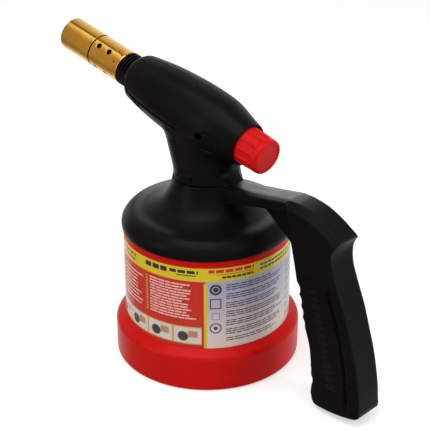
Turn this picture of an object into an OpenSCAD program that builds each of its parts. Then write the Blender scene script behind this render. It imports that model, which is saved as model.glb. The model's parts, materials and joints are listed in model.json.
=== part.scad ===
// Hand torch for a pierceable butane cartridge.
// The frame has its origin at the centre of the foot's underside, with +Z up
// and +X towards the burner. The burner, the valve and the knob share one
// tilted axis in the plane y = 0. Lengths along it are measured from the
// point where it crosses the cup's centre line.

/* [Cup] */
// Radius of the cup's straight wall
cup_r = 48.05; // [47.9:0.05:48.2]
// Radius of the bore that holds the cartridge
cup_bore_r = 45.5; // [45.4:0.05:45.7]
// Height of the cup's rim
cup_rim_z = 79.05; // [78.6:0.05:79.05]
// Radius of the flared foot
foot_r = 54; // [52.5:0.5:56]
// Height of the foot's straight side
foot_h = 21.6; // [18:0.2:24]
// Thickness of the cup's floor
cup_floor = 2.8; // [2:0.1:2.9]
// Thickness of the printed label
label_t = 0.2; // [0.1:0.05:0.3]

/* [Bell and handle] */
// Height of the bell's lower edge
bell_z = 79.15; // [79.1:0.05:79.6]
// Height of the seam between bell and head
neck_z = 109.7; // [109:0.1:110.4]
// Width of the arm and the handle
handle_w = 20; // [18:0.5:22]
// Chamfer along the arm's and the handle's long edges
handle_edge = 2.4; // [1:0.2:3]

/* [Burner axis] */
// Height at which the axis crosses the cup's centre line
axis_z = 142.9; // [142:0.1:144]
// Rise of the axis towards the burner, in degrees
axis_tilt = 12.3; // [11.5:0.1:13]

/* [Burner] */
// Outside radius of the front tube
flame_tube_r = 9.8; // [9.7:0.05:10]
// Outside radius of the rear tube
mixing_tube_r = 9.7; // [9.6:0.05:9.8]
// Station of the burner's mouth
burner_end = 115.1; // [112:0.5:118]
// Radius of the air holes
air_hole_r = 1.6; // [1.2:0.1:1.9]

/* [Knob] */
// Radius of the knob at its base
knob_r = 10.75; // [10.4:0.05:10.9]
// Number of grooves round the knob
knob_grooves = 12; // [8:1:14]

/* [Motion] */
// Turn that frees the cup, in degrees
unlock_turn = 60; // [50:5:65]
// Drop of the cup over that turn
unlock_drop = 6; // [5:0.5:7]
// Travel of the knob when it is pushed in to ignite
push_travel = 3.5; // [3:0.1:3.6]
// Lift of the valve spindle over the knob's whole turn
valve_lift = 1.2; // [0.8:0.1:1.2]

/* [Hidden] */

$fn = 96;
eps = 0.01;
fit = 0.05;          // radial clearance of a running fit
groove_w = 0.3;      // visible gap between two covers

// Cup and its bayonet
foot_shoulder = 3;
foot_wall = 2.5;
foot_ribs = 12;
label_low = foot_h + foot_shoulder + 0.1;
label_high = 75.2;
lip_r = 46.4;        // inner lip that rises inside the bell's skirt
lip_z = 84.3;
lug_r = 2;
lug_z = 82;
lug_count = 3;
lug_inner_r = 43.4;
slot_steps = 20;
slot_r = lug_r + 0.45;
spigot_r = cup_bore_r - 0.3;
spigot_bore_r = 42.8;
spigot_z = 72.5;
skirt_bore_r = lip_r + 0.3;

// Cartridge
can_r = 45;
can_wall = 0.6;
can_base = cup_floor + 0.2;
can_top = 88;

// Bell
plate_low = 94.5;
plate_high = 98;
collar_bore_r = 16.5;
bell_outline = [
    [48.85, bell_z], [48.6, 84.3], [44.2, 89.4], [35.5, 91.3],
    [27.1, 95.3], [21.8, 101.5], [19.2, neck_z]
];

// The arm and the handle as convex limbs: [distance behind the cup's centre line, height]
limbs = [
    [[17, 110.9], [48, 114], [66, 116.7], [70, 108], [66, 105.6], [48.6, 105.4], [17, 104.6]],
    [[63.5, 116.3], [65, 116.6], [72.8, 117], [83.8, 113.8], [91.4, 109.4], [101.2, 102.6], [100.4, 99.6],
        [97, 94], [95, 84], [74, 82], [71.6, 93.2], [67, 105]],
    [[72.2, 91], [98.4, 91], [102.6, 78.2], [111.2, 54], [81, 53], [77, 69.3]],
    [[81, 56], [110.7, 55.9], [115.9, 39.5], [119.9, 22.2], [121, 7], [118.6, 3.6], [92, 2.5], [88.4, 9.6], [86.5, 35.9]]
];
cover_seam = [[95.1, 77.5], [102.4, 60.2], [107.3, 45.2], [113.2, 12]];
scallops = 8;
scallop_r = 6;

// Head
head_outline = [
    [12.3, -31.5], [14.4, -23.5], [17.4, -11.8], [18.3, 1], [18.1, 15.9],
    [16.9, 33.3], [14.3, 51.5], [13.4, 55], [12.2, 56.5], [10.2, 57]
];
head_wall = 2.3;
neck_r = 18.6;
neck_top_z = 131;
bulkhead = [-23, -21];
knob_recess_r = 11.3;
cover_drop = 3.9;    // the cover's seam lies this far below the axis
screw_u = -10.5;
nose_wall = 51.6;
collar_r = 10;
shank_r = 9.2;
mixing_start = 65.5;
groove_u = 90.2;     // joint between the two brass tubes

// Gas path
stem_r = 6;
stem_low = 89.4;
gasket_r = 4.6;
gasket_top = 90.5;
needle_r = 1.5;
barrel_r = 5;
barrel = [-13, 20];
spindle_r = 2.45;
spindle_tip_r = 1.6;
seal_u = -7.8;
seat_u = 2.5;
gland_u = -19;
lance_r = 3.4;
lance = [13, 66];
jet_hex_r = 4;
screw_hole_r = 1.25;

// Knob and igniter
knob_base = -28.7;
knob_end = -46.8;
hub_end = -38.2;
spindle_flat = 1.6;  // the driving flat lies this far from the axis
flat_end = knob_base + push_travel + valve_lift + 0.3;
cap_r = 7.95;
cap_seat = 1.6;
ring_u = [-28.6, -27];
guide_offset = 8;
guide_r = 1.2;
piezo_offset = 8.7;
piezo_r = 3.4;
piezo_start = -19.5;
plunger_r = 1.5;
strike_u = 1;
electrode_offset = 6.3;
insulator = [40, 84];

// Points between b and c of a smooth curve through a, b, c and d
function curve_piece(a, b, c, d, n) = [
    for (i = [0 : n - 1]) let (t = i / n)
        0.5 * (2 * b + (c - a) * t + (2 * a - 5 * b + 4 * c - d) * t * t + (3 * b - a - 3 * c + d) * t * t * t)
];

// A smooth curve through all the points
function smooth(p, n = 4) = concat(
    [for (i = [0 : len(p) - 2])
        each curve_piece(p[max(i - 1, 0)], p[i], p[i + 1], p[min(i + 2, len(p) - 1)], n)],
    [p[len(p) - 1]]
);

function behind(p) = [for (q = p) [-q[0], q[1]]];
function inset(p, wall) = [for (q = p) [max(q[0] - wall, 0), q[1]]];

// Places children at station u: their +Z is the axis towards the burner and
// their +X points to the underside
module on_axis(u = 0) {
    translate([0, 0, axis_z]) rotate([0, 90 - axis_tilt, 0]) translate([0, 0, u]) children();
}

module tube(r_out, r_in, h) {
    difference() {
        cylinder(r = r_out, h = h);
        translate([0, 0, -eps]) cylinder(r = r_in, h = h + 2 * eps);
    }
}

// A round rod between two points of the plane y = 0, as [offset, station]
module rod(a, b, r) {
    d = b - a;
    translate([a[0], 0, a[1]]) rotate([0, atan2(d[0], d[1]), 0]) cylinder(r = r, h = norm(d));
}

// Extrudes an outline in the x-z plane to a width centred on y = 0
module side_plate(outline, width) {
    rotate([90, 0, 0]) linear_extrude(height = width, center = true) polygon(outline);
}

module bayonet_lug(angle, z, r, r_from, r_to) {
    rotate([0, 0, angle]) translate([r_from, 0, z]) rotate([0, 90, 0]) cylinder(r = r, h = r_to - r_from, $fn = 32);
}

module cartridge_cup() {
    color("firebrick") {
        difference() {
            rotate_extrude() polygon([
                [0, 0], [foot_r - 1.5, 0], [foot_r, 1.5], [foot_r, foot_h], [foot_r - 0.8, foot_h + 1.2],
                [cup_r, foot_h + foot_shoulder], [cup_r, cup_rim_z], [lip_r, cup_rim_z], [lip_r, lip_z], [0, lip_z]
            ]);
            translate([0, 0, cup_floor]) cylinder(r = cup_bore_r, h = lip_z);
            translate([0, 0, -eps]) tube(foot_r - foot_wall, cup_r, foot_h - 1);
        }
        for (i = [0 : foot_ribs - 1])
            rotate([0, 0, i * 360 / foot_ribs]) translate([cup_r - 0.5, -0.8, 1])
                cube([foot_r - foot_wall - cup_r + 1, 1.6, foot_h - 2.5]);
        for (i = [0 : lug_count - 1])
            bayonet_lug(i * 360 / lug_count, lug_z, lug_r, lug_inner_r, lip_r);
    }
}

module cup_label() {
    color("gold") translate([0, 0, label_low]) tube(cup_r + label_t, cup_r, label_high - label_low);
}

module gas_cartridge() {
    outside = [[44.4, can_base], [can_r, can_base + 0.8], [can_r, 62], [44.3, 66.5], [41.7, 71], [36.5, 75.6],
        [27, 80.6], [16, 85], [9, 87.4], [8, can_top], [needle_r + 0.1, can_top]];
    inside = [[needle_r + 0.1, can_top - can_wall], [7.7, can_top - can_wall], [8.8, 86.7], [15.8, 84.3],
        [26.7, 79.9], [36.1, 75], [41.1, 70.6], [43.7, 66.3], [can_r - can_wall, 62], [can_r - can_wall, 4.6]];
    base = [[41.3, 3.8], [20, 7.7], [0, 8.6], [0, 8], [20, 7.1], [41, can_base]];
    color("steelblue") rotate_extrude() polygon(concat(outside, inside, base));
}

function centre(p) = [for (k = [0, 1]) [for (q = p) 1] * [for (q = p) q[k]] / len(p)];
function drawn_in(p, by) = let (m = centre(p)) [for (q = p) q + by * (m - q) / norm(m - q)];

// A plate of the handle's width with its long edges chamfered
module limb(p) {
    hull() {
        side_plate(behind(p), handle_w - 2 * handle_edge);
        side_plate(behind(drawn_in(p, handle_edge * 1.2)), handle_w);
    }
}

module handle_solid() {
    difference() {
        for (p = limbs) limb(p);
        for (i = [0 : scallops - 1])
            let (t = i / (scallops - 1), p = (1 - t) * [77.2, 69] + t * [88.6, 21] - [scallop_r - 0.9, 0])
                translate([-p[0], 0, p[1]]) rotate([90, 0, 0]) cylinder(r = scallop_r, h = handle_w + 1, center = true);
    }
    side_plate(behind([[46, 107], [48.6, 105.8], [68.3, 90.6], [73, 90.6], [73, 108], [46, 108]]), handle_w - 6);
}

// The strip behind the side grooves, from its front edge to beyond the handle
module cover_region(width, gap = 0) {
    side_plate(behind(concat([for (p = cover_seam) p + [gap, 0]], [[130, 12 + gap], [130, 77.5 - gap]])), width);
}

// Sloping slots in the bell's spigot, each with an upright mouth at its end
module bayonet_slots() {
    for (lug = [0 : lug_count - 1]) rotate([0, 0, lug * 360 / lug_count]) {
        for (i = [0 : slot_steps])
            bayonet_lug(-unlock_turn * i / slot_steps, lug_z - unlock_drop * i / slot_steps,
                slot_r, spigot_bore_r - 1, spigot_r + 0.2);
        rotate([0, 0, -unlock_turn]) translate([spigot_bore_r - 1, -slot_r, spigot_z - 1])
            cube([3.6, 2 * slot_r, lug_z - unlock_drop - spigot_z + 1]);
    }
}

module bell_housing() {
    inner = [
        [collar_bore_r, neck_z], [collar_bore_r, plate_high], [stem_r + 0.1, plate_high], [stem_r + 0.1, plate_low],
        [23.5, plate_low], [26.5, 92], [33, 88.6], [40, 86.4], [spigot_bore_r, 84],
        [spigot_bore_r, spigot_z], [spigot_r, spigot_z], [spigot_r, lip_z + 0.3],
        [skirt_bore_r, lip_z + 0.3], [skirt_bore_r, bell_z]
    ];
    cavity = [[76, 90], [80.5, 70], [85.5, 50.8], [90.5, 35.9], [93, 19.2], [93, 8], [111, 8], [112.5, 13],
        [108, 38], [102, 60], [95.5, 77], [90, 94]];
    color([0.08, 0.08, 0.08]) difference() {
        union() {
            rotate_extrude() polygon(concat(smooth(bell_outline), inner));
            difference() {
                handle_solid();
                cylinder(r = neck_r + 0.3, h = 200);
            }
        }
        side_plate(behind(cavity), handle_w - 5.4);
        cover_region(handle_w + 1);
        bayonet_slots();
    }
}

module grip_cover() {
    hollow = [[90, 74.5], [98.6, 74.5], [107.6, 55], [113, 38], [117, 21], [117.6, 15], [108, 15]];
    color([0.1, 0.1, 0.1]) difference() {
        intersection() {
            handle_solid();
            cover_region(handle_w + 1, groove_w);
        }
        side_plate(behind(hollow), handle_w - 5.4);
    }
}

module piercing_needle() {
    color("silver") difference() {
        union() {
            translate([0, 0, 85]) cylinder(r = needle_r, h = 11);
            translate([0, 0, 83.4]) cylinder(r1 = 0.6, r2 = needle_r, h = 1.6);
        }
        translate([0, 0, 83]) cylinder(r = 0.5, h = 14);
    }
}

module piercing_gasket() {
    color("dimgray") translate([0, 0, can_top + fit]) tube(gasket_r, needle_r, gasket_top - can_top - fit);
}

module stem_nut() {
    color("goldenrod") translate([0, 0, 91]) difference() {
        cylinder(r = 10.4, h = plate_low - 91, $fn = 6);
        translate([0, 0, -eps]) cylinder(r = stem_r, h = 5);
    }
}

module gas_filter() {
    color("peru") translate([0, 0, 96.2]) cylinder(r = needle_r, h = 3);
}

module valve_body() {
    color("goldenrod") difference() {
        union() {
            on_axis(barrel[0]) cylinder(r = barrel_r, h = barrel[1] - barrel[0]);
            on_axis(barrel[0]) translate([-3.8, -9, 0]) cube([7.6, 18, 5]);
            translate([0, 0, stem_low]) cylinder(r = stem_r, h = axis_z + 3 - stem_low);
            translate([0, 0, plate_high + 3.1]) cylinder(r = 10, h = 3);
        }
        on_axis(barrel[0] - eps) cylinder(r = spindle_r + fit, h = seat_u - barrel[0]);
        on_axis() cylinder(r = 0.8, h = 10);
        on_axis(6) cylinder(r = 1.2, h = 10);
        on_axis(lance[0]) cylinder(r = lance_r, h = 8);
        translate([0, 0, stem_low - eps]) cylinder(r = needle_r, h = axis_z - stem_low);
        translate([0, 0, stem_low - eps]) cylinder(r = gasket_r, h = gasket_top - stem_low + eps);
        for (side = [-1, 1])
            on_axis(screw_u) rotate([-90 * side, 0, 0]) translate([0, 0, 3.8]) cylinder(r = screw_hole_r, h = 6);
    }
}

module valve_spindle() {
    color("silver") difference() {
        union() {
            on_axis(hub_end) cylinder(r = spindle_r, h = -3 - hub_end);
            on_axis(-3 - eps) cylinder(r = spindle_tip_r, h = 3.85 + eps);
            on_axis(0.85) cylinder(r1 = spindle_tip_r, r2 = 0.5, h = 2.2);
        }
        on_axis(seal_u - 0.8) tube(spindle_r + 1, 1.7, 1.6);
        on_axis(hub_end - eps) cylinder(r = 1.2, h = 7);
        on_axis(hub_end - eps) translate([spindle_flat, -4, 0]) cube([4, 8, flat_end - hub_end]);
    }
}

module spindle_o_ring() {
    color("black") on_axis(seal_u) rotate_extrude() translate([2.1, 0]) circle(r = 0.38, $fn = 24);
}

module gland_nut() {
    color("goldenrod") on_axis(gland_u) difference() {
        cylinder(r = 5.2, h = barrel[0] - gland_u - fit, $fn = 6);
        translate([0, 0, -eps]) cylinder(r = spindle_r + fit, h = 7);
    }
}

module gas_lance() {
    color("goldenrod") on_axis(lance[0]) tube(lance_r, 1.4, lance[1] - lance[0]);
}

module gas_jet() {
    color("gold") on_axis(lance[1]) difference() {
        union() {
            cylinder(r = jet_hex_r, h = 4, $fn = 6);
            cylinder(r1 = 3.4, r2 = 1.6, h = 9);
        }
        translate([0, 0, -eps]) cylinder(r = 1.2, h = 7);
        cylinder(r = 0.25, h = 10);
    }
}

module mixing_tube() {
    color("darkgoldenrod") difference() {
        union() {
            on_axis(mixing_start) cylinder(r = mixing_tube_r, h = groove_u - mixing_start);
            on_axis(mixing_start) cylinder(r = 9.15, h = 30);
            on_axis(mixing_start) cylinder(r1 = mixing_tube_r + 0.3, r2 = mixing_tube_r, h = 2);
        }
        on_axis(mixing_start - eps) cylinder(r = 8.7, h = 31);
        for (angle = [49 : 90 : 319], u = [76.4, 85.1])
            on_axis(u) rotate([0, 90, angle]) cylinder(r = air_hole_r, h = 12);
    }
}

module flame_tube() {
    color("darkgoldenrod") on_axis(groove_u + groove_w) tube(flame_tube_r, 9.2, burner_end - groove_u - groove_w);
}

module flame_disc() {
    color("peru") on_axis(97) difference() {
        cylinder(r = 9.2, h = 2);
        translate([0, 0, -1]) cylinder(r = 2.6, h = 4);
        for (i = [0 : 7]) rotate([0, 0, i * 45]) translate([electrode_offset, 0, -1]) cylinder(r = 1.1, h = 4);
    }
}

module burner_collar() {
    color([0.08, 0.08, 0.08]) difference() {
        union() {
            on_axis(46) cylinder(r = shank_r, h = 15);
            on_axis(49) cylinder(r = 11, h = nose_wall - 49 - fit);
            on_axis(57.1) cylinder(r = collar_r - 0.8, h = mixing_start - 57.1);
            for (i = [0 : 3]) on_axis(57.1 + i * 2.2) cylinder(r = collar_r, h = 1.6);
            on_axis(60) cylinder(r = 8.65, h = 9);
        }
        on_axis(45) cylinder(r = lance_r, h = 25);
        on_axis(lance[1] - 0.1) cylinder(r = jet_hex_r + 0.15, h = 4);
        on_axis(45) translate([-electrode_offset, 0, 0]) cylinder(r = 1.45, h = 25);
    }
}

module neck_solid(grow = 0) {
    hull() {
        translate([0, 0, neck_z + 0.3]) cylinder(r = neck_r + grow, h = 4, $fn = 64);
        translate([4, 0, neck_top_z]) cylinder(r = neck_r - 0.3 + grow, h = 5, $fn = 64);
    }
}

module head_solid() {
    on_axis() rotate_extrude() polygon(concat([[0, -31.5]], smooth(head_outline), [[0, 57]]));
    neck_solid();
    translate([0, 0, plate_high]) cylinder(r = collar_bore_r - 0.1, h = 15);
    intersection() {
        translate([0, 0, neck_z + 0.3]) cylinder(r = neck_r + 0.7, h = 6.8);
        translate([-7.4, -30, 0]) cube([14.8, 60, 200]);
    }
}

module head_cavity() {
    on_axis() rotate_extrude() polygon(concat(
        [[0, bulkhead[1]]],
        [for (q = smooth(inset(head_outline, head_wall))) if (q[1] > bulkhead[1] && q[1] < nose_wall) q],
        [[11.6, nose_wall], [0, nose_wall]]
    ));
    on_axis(nose_wall - 1) cylinder(r = shank_r + fit, h = 10);
    on_axis(-40) cylinder(r = knob_recess_r, h = bulkhead[0] + 40);
    translate([0, 0, neck_z]) cylinder(r = collar_bore_r - 0.3, h = 26);
    translate([0, 0, 101]) cylinder(r = 13.9, h = 20);
    translate([0, 0, 90]) cylinder(r = stem_r + 0.1, h = 20);
}

// The space below the long seams, ahead of the neck
module cover_space(gap = 0) {
    difference() {
        on_axis(8) translate([cover_drop + gap, -30, 0]) cube([40, 60, 60]);
        neck_solid(gap);
    }
}

module head_shell(side) {
    color([0.08, 0.08, 0.08]) intersection() {
        translate([-60, side > 0 ? fit : -50 - fit, 80]) cube([140, 50, 120]);
        difference() {
            union() {
                difference() {
                    head_solid();
                    head_cavity();
                    cover_space();
                }
                intersection() {
                    head_solid();
                    on_axis(screw_u) rotate([-90 * side, 0, 0]) translate([0, 0, 9.1]) cylinder(r = 4, h = 9);
                }
            }
            on_axis(screw_u) rotate([-90 * side, 0, 0]) {
                cylinder(r = 1.5, h = 12);
                translate([0, 0, 11]) cylinder(r = 2.1, h = 12);
            }
            on_axis(-24) {
                cylinder(r = spindle_r + 0.5, h = 4);
                translate([0, guide_offset * side, 0]) cylinder(r = guide_r + 0.1, h = 4);
                translate([-piezo_offset, 0, 0]) cylinder(r = plunger_r + 0.1, h = 4);
            }
        }
    }
}

module head_shell_left() {
    head_shell(1);
}

module head_shell_right() {
    head_shell(-1);
}

module underside_cover() {
    color([0.1, 0.1, 0.1]) intersection() {
        difference() {
            on_axis() rotate_extrude() polygon(concat([[0, -31.5]], smooth(head_outline), [[0, 57]]));
            head_cavity();
            for (i = [0 : 2], side = [-1, 1])
                on_axis(44 - i * 3) translate([8, side * 9, 0]) cube([12, 2.5, 1.2], center = true);
        }
        cover_space(groove_w);
    }
}

module head_screws() {
    color("silver") for (side = [-1, 1])
        on_axis(screw_u) rotate([-90 * side, 0, 0]) difference() {
            union() {
                translate([0, 0, 4]) cylinder(r = screw_hole_r, h = 7.2);
                translate([0, 0, 11.05]) cylinder(r = 2, h = 1.6);
            }
            for (turn = [0, 90]) rotate([0, 0, turn]) translate([0, 0, 12.6]) cube([2.4, 0.5, 1.4], center = true);
        }
}

module control_knob() {
    color("red") difference() {
        on_axis() rotate_extrude() polygon([
            [0, knob_base], [knob_r - 0.2, knob_base], [knob_r, -30.5], [10.15, -45.2],
            [9.9, -46.2], [9.1, knob_end], [0, knob_end]
        ]);
        on_axis(-50) difference() {
            cylinder(r = spindle_r + fit, h = 30);
            translate([spindle_flat + fit, -4, 0]) cube([4, 8, 30]);
        }
        on_axis(knob_end) cylinder(r = 4, h = hub_end - knob_end);
        on_axis(knob_end - 1) cylinder(r = cap_r + fit, h = cap_seat + 1);
        on_axis(-36) tube(8.4, 5.5, 10);
        for (i = [0 : knob_grooves - 1])
            on_axis(-50) rotate([0, 0, i * 360 / knob_grooves]) translate([11.3, 0, 0]) cylinder(r = 1.5, h = 18);
    }
}

module knob_cap() {
    color("crimson") on_axis(knob_end + 0.2) cylinder(r = cap_r, h = cap_seat - 0.2 - fit);
}

module knob_screw() {
    color("silver") {
        on_axis(hub_end - 1.5) difference() {
            cylinder(r = 3.2, h = 1.45);
            translate([-3.5, -0.4, -0.1]) cube([7, 0.8, 0.8]);
        }
        on_axis(hub_end - 0.1) cylinder(r = 1.2, h = 6);
    }
}

module push_ring() {
    color("ivory") {
        on_axis(ring_u[0]) tube(10.4, spindle_r + 0.4, ring_u[1] - ring_u[0]);
        for (side = [-1, 1])
            on_axis(ring_u[1] - 0.5) translate([0, guide_offset * side, 0]) cylinder(r = guide_r, h = 6.5);
    }
}

module piezo_plunger() {
    color("ivory") {
        on_axis(ring_u[1]) translate([-piezo_offset, 0, 0]) cylinder(r = plunger_r, h = 9.5);
        on_axis(piezo_start + 1.6) translate([-piezo_offset, 0, 0]) cylinder(r = 2.4, h = 1.5);
    }
}

// A coil spring along +Z, as a swept round wire
module coil(radius, wire_r, length, turns, steps = 16, sides = 6) {
    n = turns * steps;
    points = [for (i = [0 : n], j = [0 : sides - 1])
        let (a = i * 360 / steps, b = j * 360 / sides, r = radius + wire_r * cos(b))
            [r * cos(a), r * sin(a), wire_r + (length - 2 * wire_r) * i / n + wire_r * sin(b)]];
    sheath = [for (i = [0 : n - 1], j = [0 : sides - 1])
        let (k = (j + 1) % sides) [i * sides + j, i * sides + k, (i + 1) * sides + k, (i + 1) * sides + j]];
    caps = [[for (j = [sides - 1 : -1 : 0]) j], [for (j = [0 : sides - 1]) n * sides + j]];
    polyhedron(points, concat(sheath, caps), convexity = 10);
}

module piezo_spring() {
    color("silver") on_axis(piezo_start + 3.15) translate([-piezo_offset, 0, 0]) coil(2, 0.3, 10.3, 7);
}

module piezo_hammer() {
    color("gray") on_axis(strike_u - 7) translate([-piezo_offset, 0, 0]) cylinder(r = 2.5, h = 5);
}

module piezo_element() {
    color("wheat") on_axis(strike_u) translate([-piezo_offset, 0, 0]) {
        cylinder(r = 2.6, h = 8);
        cylinder(r = 1, h = 9.2);
    }
}

module piezo_case() {
    color("white") on_axis(piezo_start) translate([-piezo_offset, 0, 0]) difference() {
        cylinder(r = piezo_r, h = 28.5);
        translate([0, 0, 1.5]) cylinder(r = 2.6, h = 30);
        translate([0, 0, -1]) cylinder(r = plunger_r + fit, h = 5);
    }
}

module ignition_lead() {
    color("white") on_axis() rod([-piezo_offset, strike_u + 9.4], [-electrode_offset, insulator[0] - 0.2], 0.9);
}

module electrode_insulator() {
    color("white") on_axis(insulator[0]) translate([-electrode_offset, 0, 0])
        cylinder(r = 1.4, h = insulator[1] - insulator[0]);
}

module electrode() {
    color("gray") on_axis(insulator[1]) translate([-electrode_offset, 0, 0]) cylinder(r = 0.5, h = 18);
}

cartridge_cup();
cup_label();
gas_cartridge();
bell_housing();
grip_cover();
piercing_needle();
piercing_gasket();
stem_nut();
gas_filter();
valve_body();
valve_spindle();
spindle_o_ring();
gland_nut();
gas_lance();
gas_jet();
mixing_tube();
flame_tube();
flame_disc();
burner_collar();
head_shell_left();
head_shell_right();
underside_cover();
head_screws();
control_knob();
knob_cap();
knob_screw();
push_ring();
piezo_plunger();
piezo_spring();
piezo_hammer();
piezo_element();
piezo_case();
ignition_lead();
electrode_insulator();
electrode();
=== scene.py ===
"""Looks of a hand torch for a pierceable gas cartridge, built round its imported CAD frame.

Lengths are in millimetres until a mesh is made; piece() turns them into metres. The frame's +X points to
the burner, +Z is up, and burner, valve and knob share one tilted axis in the plane y = 0. A place on that
axis is a station: its distance from the point where the axis crosses the cup's centre line.
"""

import json
import math

import bmesh
import bpy
import numpy as np
from mathutils import Matrix, Vector


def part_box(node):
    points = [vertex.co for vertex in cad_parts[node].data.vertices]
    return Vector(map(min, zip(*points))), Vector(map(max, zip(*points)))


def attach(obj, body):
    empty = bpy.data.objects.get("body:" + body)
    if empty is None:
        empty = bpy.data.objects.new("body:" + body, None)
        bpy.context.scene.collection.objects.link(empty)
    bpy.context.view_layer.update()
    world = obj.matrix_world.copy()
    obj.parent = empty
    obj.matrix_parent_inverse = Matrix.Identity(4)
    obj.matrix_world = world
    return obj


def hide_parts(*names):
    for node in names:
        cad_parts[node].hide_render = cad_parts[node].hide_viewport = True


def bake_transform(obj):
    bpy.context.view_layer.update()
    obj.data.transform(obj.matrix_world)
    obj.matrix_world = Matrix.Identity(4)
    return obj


MM = 0.001

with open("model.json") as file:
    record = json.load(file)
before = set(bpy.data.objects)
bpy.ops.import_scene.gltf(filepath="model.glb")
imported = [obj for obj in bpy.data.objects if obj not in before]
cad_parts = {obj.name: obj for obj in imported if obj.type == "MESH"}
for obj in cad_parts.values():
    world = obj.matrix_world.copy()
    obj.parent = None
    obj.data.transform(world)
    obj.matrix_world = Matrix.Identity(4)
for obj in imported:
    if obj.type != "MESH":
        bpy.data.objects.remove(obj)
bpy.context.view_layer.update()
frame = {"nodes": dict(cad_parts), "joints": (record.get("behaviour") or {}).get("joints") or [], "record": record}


# ---- places read from the frame


def node_box(name):
    """Lowest and highest corner of a CAD node, in millimetres."""
    low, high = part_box(name)
    return np.array(low) / MM, np.array(high) / MM


JOINTS = {joint["name"]: joint for joint in frame["joints"]}
AXIS = -np.array(JOINTS["knob_turn"]["axis"])
AXIS /= np.linalg.norm(AXIS)
UNDER = np.array([AXIS[2], 0.0, -AXIS[0]])
hinge_point = np.array(JOINTS["knob_turn"]["pos_m"]) / MM
CROSSING = hinge_point - AXIS * hinge_point[0] / AXIS[0]

CUP_HIGH = node_box("cartridge_cup")[1]
LABEL_LOW, LABEL_HIGH = node_box("cup_label")
BELL_LOW, BELL_HIGH = node_box("bell_housing")
FOOT_R = CUP_HIGH[1]
LABEL_R = LABEL_HIGH[1]
LABEL_THICK, LIP_H, RIM_GAP, BELL_H = 0.2, 5.25, 0.1, 30.55
CUP_R = LABEL_R - LABEL_THICK
LIP_TOP = CUP_HIGH[2]
RIM_Z = LIP_TOP - LIP_H
BELL_R = BELL_HIGH[0]
BELL_Z = RIM_Z + RIM_GAP
NECK_Z = BELL_Z + BELL_H
HANDLE_BACK = -BELL_LOW[0]
HANDLE_W = 20.0


def stations(name):
    """Lowest and highest station and the radius of a round CAD node on the tilted axis, from its box."""
    low, high = node_box(name)
    middle = ((low + high) / 2 - CROSSING) @ AXIS
    radius = (high[1] - low[1]) / 2
    half = ((high[0] - low[0]) / 2 - radius * AXIS[2]) / AXIS[0]
    return middle - half, middle + half, radius


LIP_RISE = 0.3
MIX_START, MIX_END, MIX_R = stations("mixing_tube")
MIX_R -= LIP_RISE
FLAME_START, FLAME_END, FLAME_R = stations("flame_tube")
KNOB_END, KNOB_BASE, KNOB_R = stations("control_knob")


# ---- distance fields
# A field gives the signed distance to a surface, in millimetres, negative inside.


def smin(a, b, k):
    """Union with a fillet of about k."""
    h = np.clip(0.5 + 0.5 * (b - a) / k, 0, 1)
    return b + (a - b) * h - k * h * (1 - h)


def smax(a, b, k):
    """Intersection with a rounded edge of about k."""
    return -smin(-a, -b, k)


def ramp(x, low, high):
    """0 below low, 1 above high, smooth between."""
    t = np.clip((x - low) / (high - low), 0, 1)
    return t * t * (3 - 2 * t)


def curve(points, step=0.6):
    """A smooth curve through the points, as points about step apart."""
    p = np.array([points[0], *points, points[-1]], float)
    out = []
    for a, b, c, d in zip(p, p[1:], p[2:], p[3:]):
        for t in np.linspace(0, 1, max(2, int(np.linalg.norm(c - b) / step)), endpoint=False):
            square, cube = 2 * a - 5 * b + 4 * c - d, 3 * b - a - 3 * c + d
            out.append(0.5 * (2 * b + (c - a) * t + square * t**2 + cube * t**3))
    return out + [p[-1]]


SHARP = 0.008


def rounded(corners, steps=6):
    """A closed outline with arcs at its corners, each given as (x, y, radius); also the outline's normals."""
    points, normals = [], []
    count = len(corners)
    for i, (x, y, radius) in enumerate(corners):
        here = np.array([x, y], float)
        before = np.array(corners[i - 1][:2], float) - here
        after = np.array(corners[(i + 1) % count][:2], float) - here
        before /= np.linalg.norm(before)
        after /= np.linalg.norm(after)
        half = math.acos(np.clip(before @ after, -1, 1)) / 2
        radius = max(radius, SHARP)
        middle = (before + after) / np.linalg.norm(before + after)
        centre = here + middle * radius / math.sin(half)
        start = here + before * radius / math.tan(half) - centre
        end = here + after * radius / math.tan(half) - centre
        turn = math.copysign(1, start[0] * end[1] - start[1] * end[0])
        sweep = math.acos(np.clip(start @ end / radius**2, -1, 1))
        for k in range(steps + 1):
            angle = turn * sweep * k / steps
            c, s = math.cos(angle), math.sin(angle)
            arm = np.array([start[0] * c - start[1] * s, start[0] * s + start[1] * c])
            points.append(centre + arm)
            normals.append(arm / radius * turn)
    return np.array(points), np.array(normals)


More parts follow.
